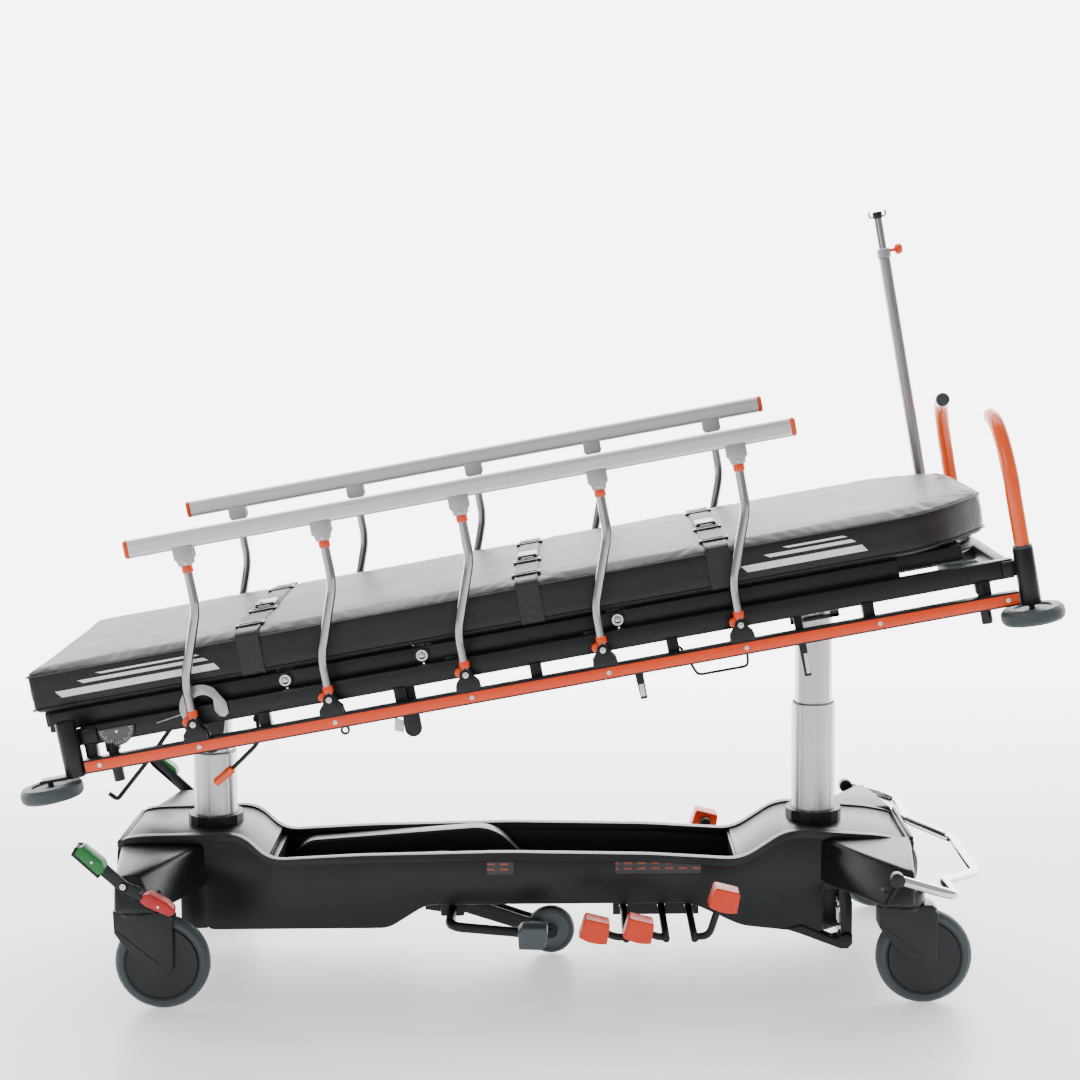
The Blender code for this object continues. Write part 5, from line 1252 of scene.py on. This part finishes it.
def billowed(bm):
    """The pad with its cover filled from within: slack cloth under light pressure, held at its edges."""
    mesh = bpy.data.meshes.new("pad_start")
    bm.to_mesh(mesh)
    bm.free()
    pad = bpy.data.objects.new("pad_start", mesh)
    bpy.context.scene.collection.objects.link(pad)
    remesh = pad.modifiers.new("voxels", "REMESH")
    remesh.mode = "VOXEL"
    remesh.voxel_size = 0.006
    even = bpy.data.meshes.new_from_object(pad.evaluated_get(bpy.context.evaluated_depsgraph_get()))
    pad.modifiers.clear()
    pad.data = even
    start = [vertex.co.copy() for vertex in even.vertices]
    held = pad.vertex_groups.new(name="held")
    for vertex in even.vertices:
        seam = min(abs(vertex.co.z - SEAM_LOW), abs(vertex.co.z - SEAM_TOP))
        under = vertex.co.z < SEAM_LOW
        edge = (abs(vertex.co.y) > half_width(vertex.co.x) - 0.012
                or not PAD_FOOT + 0.012 < vertex.co.x < PAD_HEAD - 0.012)
        strapped = any(low < vertex.co.x < high for _, _, low, high in STRAPS)
        grip = 1.0 if under or strapped or (edge and seam < 0.004) else 0.0
        held.add([vertex.index], grip, "REPLACE")
    cloth = pad.modifiers.new("cover", "CLOTH")
    cloth.settings.quality = 4
    cloth.settings.mass = 0.25
    cloth.settings.tension_stiffness = 8
    cloth.settings.compression_stiffness = 8
    cloth.settings.bending_stiffness = 0.6
    cloth.settings.shrink_min = -0.012
    cloth.settings.use_pressure = True
    cloth.settings.uniform_pressure_force = 4.0
    cloth.settings.vertex_group_mass = "held"
    cloth.settings.effector_weights.gravity = 0.0
    cloth.collision_settings.use_self_collision = False
    cloth.point_cache.frame_end = CLOTH_FRAMES
    scene = bpy.context.scene
    for frame_number in range(1, CLOTH_FRAMES + 1):
        scene.frame_set(frame_number)
    filled = bpy.data.meshes.new_from_object(pad.evaluated_get(bpy.context.evaluated_depsgraph_get()))
    scene.frame_set(1)
    for vertex, before in zip(filled.vertices, start):
        move = vertex.co - before
        if move.length > CLOTH_REACH:
            move = move.normalized() * CLOTH_REACH
        vertex.co = before + move
        wide = half_width(vertex.co.x) + 0.0024
        vertex.co.y = min(max(vertex.co.y, -wide), wide)
    made = bmesh.new()
    made.from_mesh(filled)
    bmesh.ops.smooth_vert(made, verts=made.verts, factor=0.35, use_axis_x=True, use_axis_y=True,
            use_axis_z=True)
    bpy.data.objects.remove(pad)
    return made


def sliced(whole, low, high):
    """A closed copy of the pad between two cuts across it."""
    bm = whole.copy()
    for place, facing in ((low, -1), (high, 1)):
        if place is not None:
            parts = bm.verts[:] + bm.edges[:] + bm.faces[:]
            cut = bmesh.ops.bisect_plane(bm, geom=parts, plane_co=(place, 0, 0), plane_no=(facing, 0, 0),
                    clear_outer=True)
            rim = [item for item in cut["geom_cut"] if isinstance(item, bmesh.types.BMEdge)]
            bmesh.ops.contextual_create(bm, geom=rim)
    bmesh.ops.recalc_face_normals(bm, faces=bm.faces)
    return bm


def make_mattress():
    """The mattress in three stretches cut across from one filled pad."""
    rows = (("mattress_foot_part", PAD_FOOT, FIRST_CUT, "leg", "thigh", (0.165, 0.275),
             ("mattress_leg", "mattress_thigh"), "foot"),
            ("mattress_seat_part", FIRST_CUT, SECOND_CUT, "thigh", "platform", (0.400, 0.570),
             ("mattress_seat",), "none"),
            ("mattress_back_part", SECOND_CUT, PAD_HEAD, "platform", "back", (0.800, 0.985),
             ("mattress_back",), "head"))
    whole = pad_piece(PAD_FOOT, PAD_HEAD, True, True)
    whole = billowed(whole)
    for name, foot, head, before, after, (start, end), nodes, loops in rows:
        shapes = [sliced(whole, foot if foot > PAD_FOOT else None, head if head < PAD_HEAD else None)]
        made = platform_piece(name, "cover", shapes, None, replaces=nodes, slot="mattress_fabric", sharp=60)
        seams = platform_piece(f"{name}_piping", "webbing", piping(foot, head, SEAM_LOW, loops)
                               + piping(foot, head, SEAM_TOP, loops), None, slot="mattress_fabric")
        for soft in (made, seams):
            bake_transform(soft)
    whole.free()


def strap_section(inner, outer):
    """The (y, w) outline of a band that wraps over the mattress and tucks in under both its edges."""
    def line(lift):
        y, top, low = PAD_HALF + 0.0035 + lift, PAD_TOP + 0.0040 + lift, PAD_LOW + 0.004 - lift
        half = [(y - 0.022, 0, low), (y, 0, low), (y, 0, (low + top) / 2), (y + 0.001, 0, top - 0.006),
                (y - 0.010, 0, top), (0.0, 0, top + 0.0005)]
        mirrored = [(-a, 0, b) for a, _, b in half[:-1]]
        return [(p.x, p.z) for p in rounded_path(half + mirrored[::-1], 0.010, 5)]
    return line(outer), line(inner)


def band(low, high, inner, outer):
    """A flat closed band that follows the strap outline between two u values."""
    over, under = strap_section(inner, outer)
    bm = bmesh.new()
    rings = [[bm.verts.new((u, y, w)) for u, (y, w) in ((low, a), (high, a), (high, b), (low, b))]
             for a, b in zip(over, under)]
    for first, last in zip(rings, rings[1:]):
        for k in range(4):
            bm.faces.new((first[k], first[(k + 1) % 4], last[(k + 1) % 4], last[k]))
    bm.faces.new(rings[0])
    bm.faces.new(rings[-1])
    bmesh.ops.recalc_face_normals(bm, faces=bm.faces)
    return bm


def make_straps():
    """Three straps with their buckles and tails."""
    for name, body, low, high in STRAPS:
        bands = [band(low, high, 0.0, 0.0016)]
        hems = [band(u, u + 0.003, 0.0014, 0.0024) for u in (low + 0.001, high - 0.004)]
        platform_piece(f"{name}_webbing", "webbing", bands + hems, body, slot="mattress_fabric")
        top = PAD_TOP + 0.0068
        slides = []
        for y in (-0.262, -0.070, 0.235):
            for offset in (-0.011, 0.012):
                slides.append(box((low - 0.006, high + 0.006), (y + offset - 0.004, y + offset + 0.004),
                        (top - 0.002, top + 0.004), 0.0018))
            for u in (low - 0.0065, high + 0.0005):
                slides.append(box((u, u + 0.006), (y - 0.013, y + 0.014), (top - 0.002, top + 0.004),
                        0.0018))
            slides.append(box((low, high), (y - 0.002, y + 0.003), (top - 0.001, top + 0.0055), 0.0015))
        slides.append(box((low + 0.002, high - 0.002), (-0.046, 0.030), (top - 0.001, top + 0.0105), 0.0040,
                3))
        slides.append(box((low + 0.010, high - 0.010), (-0.058, -0.044), (top - 0.001, top + 0.0070),
                0.0025))
        slides.append(box((low + 0.008, high - 0.008), (0.028, 0.046), (top - 0.001, top + 0.0070), 0.0025))
        platform_piece(f"{name}_buckle", "gloss_black", slides, body, slot="moulded_black")
        tail = box((low + 0.004, high - 0.004), (0.045, 0.215), (top - 0.001, top + 0.0012), 0.0005)
        platform_piece(f"{name}_tail", "webbing", [tail], body, slot="mattress_fabric")


def make_prints():
    """Plain white stripes on the mattress sides."""
    rows = (("print_foot", "leg", -0.275, 0.070), ("print_back", "back", 1.160, 1.420))
    for name, body, low, high in rows:
        for side, label in SIDES:
            shapes = []
            outer = side * (PAD_HALF + 0.0026)
            for w, height, trim in ((0.098, 0.014, 0.0), (0.120, 0.007, 0.05), (0.133, 0.004, 0.09)):
                plan = [(low + trim + 0.012, w), (high - trim * 0.4, w),
                        (high - trim * 0.4 - 0.010, w + height), (low + trim, w + height)]
                shapes.append(prism(plan, tuple(sorted((outer - side * 0.0012, outer))), 0.0))
            platform_piece(f"{name}_{label}", "print_white", shapes, body, slot="mattress_fabric")


# ---- infusion pole, lever and small fittings ------------------------------------------------------
def make_pole():
    """The infusion pole, its sliding rod, hooks and knob."""
    u, y = POLE_U, POLE_Y
    outer = lathe([(0.0102, 0.0), (0.0135, 0.0), (0.0135, 0.688), (0.0120, 0.689), (0.0102, 0.689)], 40)
    platform_piece("pole_outer", "pole_steel", [shifted(outer, u, y, -0.029)], "platform",
            replaces=("pole_outer_tube",), slot="stainless")
    collar = lathe([(0.0136, 0.0), (0.0158, 0.0015), (0.0160, 0.014), (0.0150, 0.0205), (0.0118, 0.0225),
            (0.0102, 0.0225), (0.0102, 0.018)], 40)
    platform_piece("pole_collar", "clamp_grey", [shifted(collar, u, y, 0.6600)], "platform",
            slot="moulded_black")
    w = ROD_TOP
    rod_shapes = [rod((u, y, 0.112), (u, y, w - 0.006), 0.0095, 32, 0.001)]
    platform_piece("pole_rod_tube", "stainless", rod_shapes, "pole_rod", replaces=("pole_rod",),
            slot="stainless")
    head = [rod((u, y, w - 0.016), (u, y, w + 0.0002), 0.0112, 32, 0.003)]
    platform_piece("pole_head", "moulded", head, "pole_rod", slot="moulded_black")
    hooks = []
    for way in (-1, 1):
        hooks.append(tube(rounded_path([(u, y, w - 0.010), (u + way * 0.014, y, w - 0.012),
                (u + way * 0.0185, y, w - 0.010), (u + way * 0.0190, y, w + 0.0015)], 0.004, 4), 0.0026,
                12))
    platform_piece("pole_hooks", "zinc", hooks, "pole_rod", slot="stainless")
    knob_w = 0.675
    stem = rod((u + 0.0105, y, knob_w), (u + 0.030, y, knob_w), 0.0040, 16, 0.0005)
    wing = lathe([(0.0, 0.0), (0.008, 0.0), (0.0118, 0.003), (0.0128, 0.008), (0.0120, 0.0145),
            (0.0085, 0.0175), (0.0, 0.018)], 8)
    wing = turned(softened(wing, 0.001, 2, 25), Matrix.Translation((u + 0.0262, y, knob_w))
            @ Matrix.Rotation(math.pi / 2, 4, "Y"))
    platform_piece("pole_knob_grip", "orange_satin", [stem, wing], "pole_knob", replaces=("pole_knob",),
            slot="orange")


def make_lever():
    """The release lever with its grip, and the angle dial with its ticks."""
    y = -0.295
    bar = tube(rounded_path([(0.118, y, -0.024), (0.112, y, -0.075), (0.045, y, -0.121),
            (0.012, y, -0.1400)], 0.018, 6), 0.0045, 16)
    boss = rod((0.118, y - 0.010, -0.024), (0.118, y + 0.010, -0.024), 0.0080, 24, 0.001)
    platform_piece("release_lever_bar", "powder", [bar, boss], "release_lever", replaces=("release_lever",),
            slot="powder_black")
    grip = tube([(0.047, y, -0.1197), (0.040, y, -0.1240), (0.022, y, -0.1345), (0.007, y, -0.1430),
            (0.0035, y, -0.1450)], 0.0092, 24)
    platform_piece("release_lever_grip", "orange_gloss", [softened(grip, 0.003, 2, 50)], "release_lever",
            slot="orange")
    plane = -0.3475
    dial = prism(arc((-0.164, 0.018), 0.038, 180, 360, 24), (plane, plane + 0.0044), 0.0008)
    platform_piece("angle_dial_face", "dial_grey", [dial], "platform", replaces=("angle_dial",),
            slot="moulded_black")
    ticks = []
    for k in range(19):
        angle = math.radians(186 + 168 * k / 18)
        long = 0.008 if k % 3 == 0 else 0.004
        middle = 0.0345 - long / 2
        tick = box((-long / 2, long / 2), (plane - 0.0005, plane + 0.0002), (-0.0004, 0.0004), 0.0)
        ticks.append(turned(tick, Matrix.Translation((-0.164 + middle * math.cos(angle), 0,
                0.018 + middle * math.sin(angle))) @ Matrix.Rotation(-angle, 4, "Y")))
    ticks.append(rod((-0.164, plane - 0.0012, 0.010), (-0.164, plane + 0.001, 0.010), 0.003, 16))
    platform_piece("angle_dial_ticks", "print_white", ticks, "platform", slot="moulded_black")


def make_fittings():
    """Small sockets, hooks, tabs and loops that hang under the side rails."""
    shapes = []
    for u in (-0.180, 1.635):
        shapes.append(rod((u, -0.338, -0.094), (u, -0.338, -0.012), 0.0115, 28, 0.001))
        shapes.append(box((u - 0.014, u + 0.014), (-0.3455, -0.326), (-0.030, -0.009), 0.002))
    shapes.append(prism([(0.422, -0.004), (0.420, -0.100)] + arc((0.438, -0.098), 0.018, 180, 350, 8)
            + [(0.456, -0.004)], (-0.3290, -0.3215), 0.002))
    for u, top, low in ((0.915, -0.060, -0.124), (1.255, -0.012, -0.138)):
        shapes.append(prism([(u - 0.008, top), (u - 0.004, low), (u + 0.010, low), (u + 0.010, top)],
                (-0.3285, -0.3235), 0.001))
    shapes.append(tube(rounded_path([(0.995, -0.330, -0.020), (1.010, -0.330, -0.030),
            (1.035, -0.330, -0.094), (1.140, -0.330, -0.094), (1.146, -0.330, -0.030),
            (1.150, -0.330, -0.008)], 0.010, 4), 0.0028, 10))
    ring = lathe([(0.0052, -0.0022), (0.0100, -0.0022), (0.0100, 0.0022), (0.0052, 0.0022)], 28, "Y")
    shapes.append(shifted(ring, 0.302, -0.352, -0.0715))
    shapes.append(tube(rounded_path([(-0.060, -0.200, -0.006), (-0.144, -0.200, -0.087),
            (-0.230, -0.200, -0.162), (-0.245, -0.200, -0.145)], 0.008, 4), 0.0048, 14))
    loop = [(1.600, 0.052, 0.052), (1.640, 0.052, 0.058), (1.655, 0.052, 0.062), (1.660, -0.06, 0.062),
            (1.640, -0.060, 0.058), (1.600, -0.060, 0.052)]
    shapes.append(tube(rounded_path([(u, y, w - 0.036) for u, y, w in loop], 0.008, 4), 0.004, 12))
    platform_piece("frame_fittings", "powder", shapes, "platform", slot="powder_black")
    labels = [box((0.912, 0.922), (-0.3296, -0.3284), (-0.118, -0.092), 0.0004),
            box((1.256, 1.264), (-0.3296, -0.3284), (-0.132, -0.090), 0.0004),
            prism([(0.404, -0.070), (0.398, -0.096), (0.416, -0.104), (0.422, -0.080)], (-0.3275, -0.3225),
            0.001)]
    platform_piece("fitting_labels", "print_white", labels, "platform", slot="powder_black")
    spring = []
    for side in (-1, 1):
        y = side * 0.180
        spring.append(rod((0.960, y, 0.000), (1.200, y, 0.010), 0.0105, 28, 0.001))
        spring.append(rod((1.195, y, 0.010), (1.330, y, 0.0155), 0.0045, 20, 0.0005))
    platform_piece("gas_springs", "gloss_black", spring, "platform", slot="powder_black")


def make_floor():
    """A pale floor that turns up into a plain backdrop behind the trolley; it glows as painted light, dim
    near the camera and bright white on the backdrop.
    """
    bend = [(-9.0, 0.0), (3.4, 0.0)] + arc((3.4, 3.0), 3.0, -90, 0, 16)[1:] + [(6.4, 12.0)]
    bm = bmesh.new()
    rows = [[bm.verts.new((x, y, z)) for x in (-16.0, 16.0)] for y, z in bend]
    for low, high in zip(rows, rows[1:]):
        bm.faces.new((low[0], low[1], high[1], high[0]))
    mesh = bpy.data.meshes.new("studio_floor")
    bm.to_mesh(mesh)
    bm.free()
    mesh.shade_smooth()
    floor = bpy.data.objects.new("studio_floor", mesh)
    bpy.context.scene.collection.objects.link(floor)
    # painted light: emission at strength 5, coloured by a ramp along y, makes the floor glow, dim near the
    # camera and white on the backdrop
    paint = Paint("studio_floor", Specular_IOR_Level=0.30, Emission_Strength=5.0)
    cloud = paint.noise(0.6, 2.0)
    far = paint.ramp(paint.axis("Y") * 0.16 + 0.15, (0.0, grey(0.10)), (0.30, grey(0.16)),
            (0.62, grey(0.55)), (1.0, grey(1.0)))
    paint.set(Emission_Color=far)
    paint.set(Base_Color=paint.mix(cloud, grey(0.86), grey(0.89)))
    paint.set(Roughness=cloud * 0.1 + 0.30)
    mesh.materials.append(paint.material)
    floor.location = (0, 0, -0.0005)


def main():
    """Makes everything in order from the floor up."""
    aim_camera()
    light_studio()
    make_floor()
    make_cover()
    make_cradle()
    make_chassis()
    for stem_x, end in ((FOOT_STEM_X, "foot"), (HEAD_STEM_X, "head")):
        for side, label in SIDES:
            make_caster(stem_x, side, f"{end}_{label}")
    make_brake()
    make_brake_bar()
    make_foot_pedals()
    make_fifth_wheel()
    make_columns()
    make_frame()
    make_bumpers()
    make_handles()
    make_accessory_rails()
    make_siderails()
    make_latches()
    make_deck()
    make_mattress()
    make_straps()
    make_prints()
    make_pole()
    make_lever()
    make_fittings()


main()
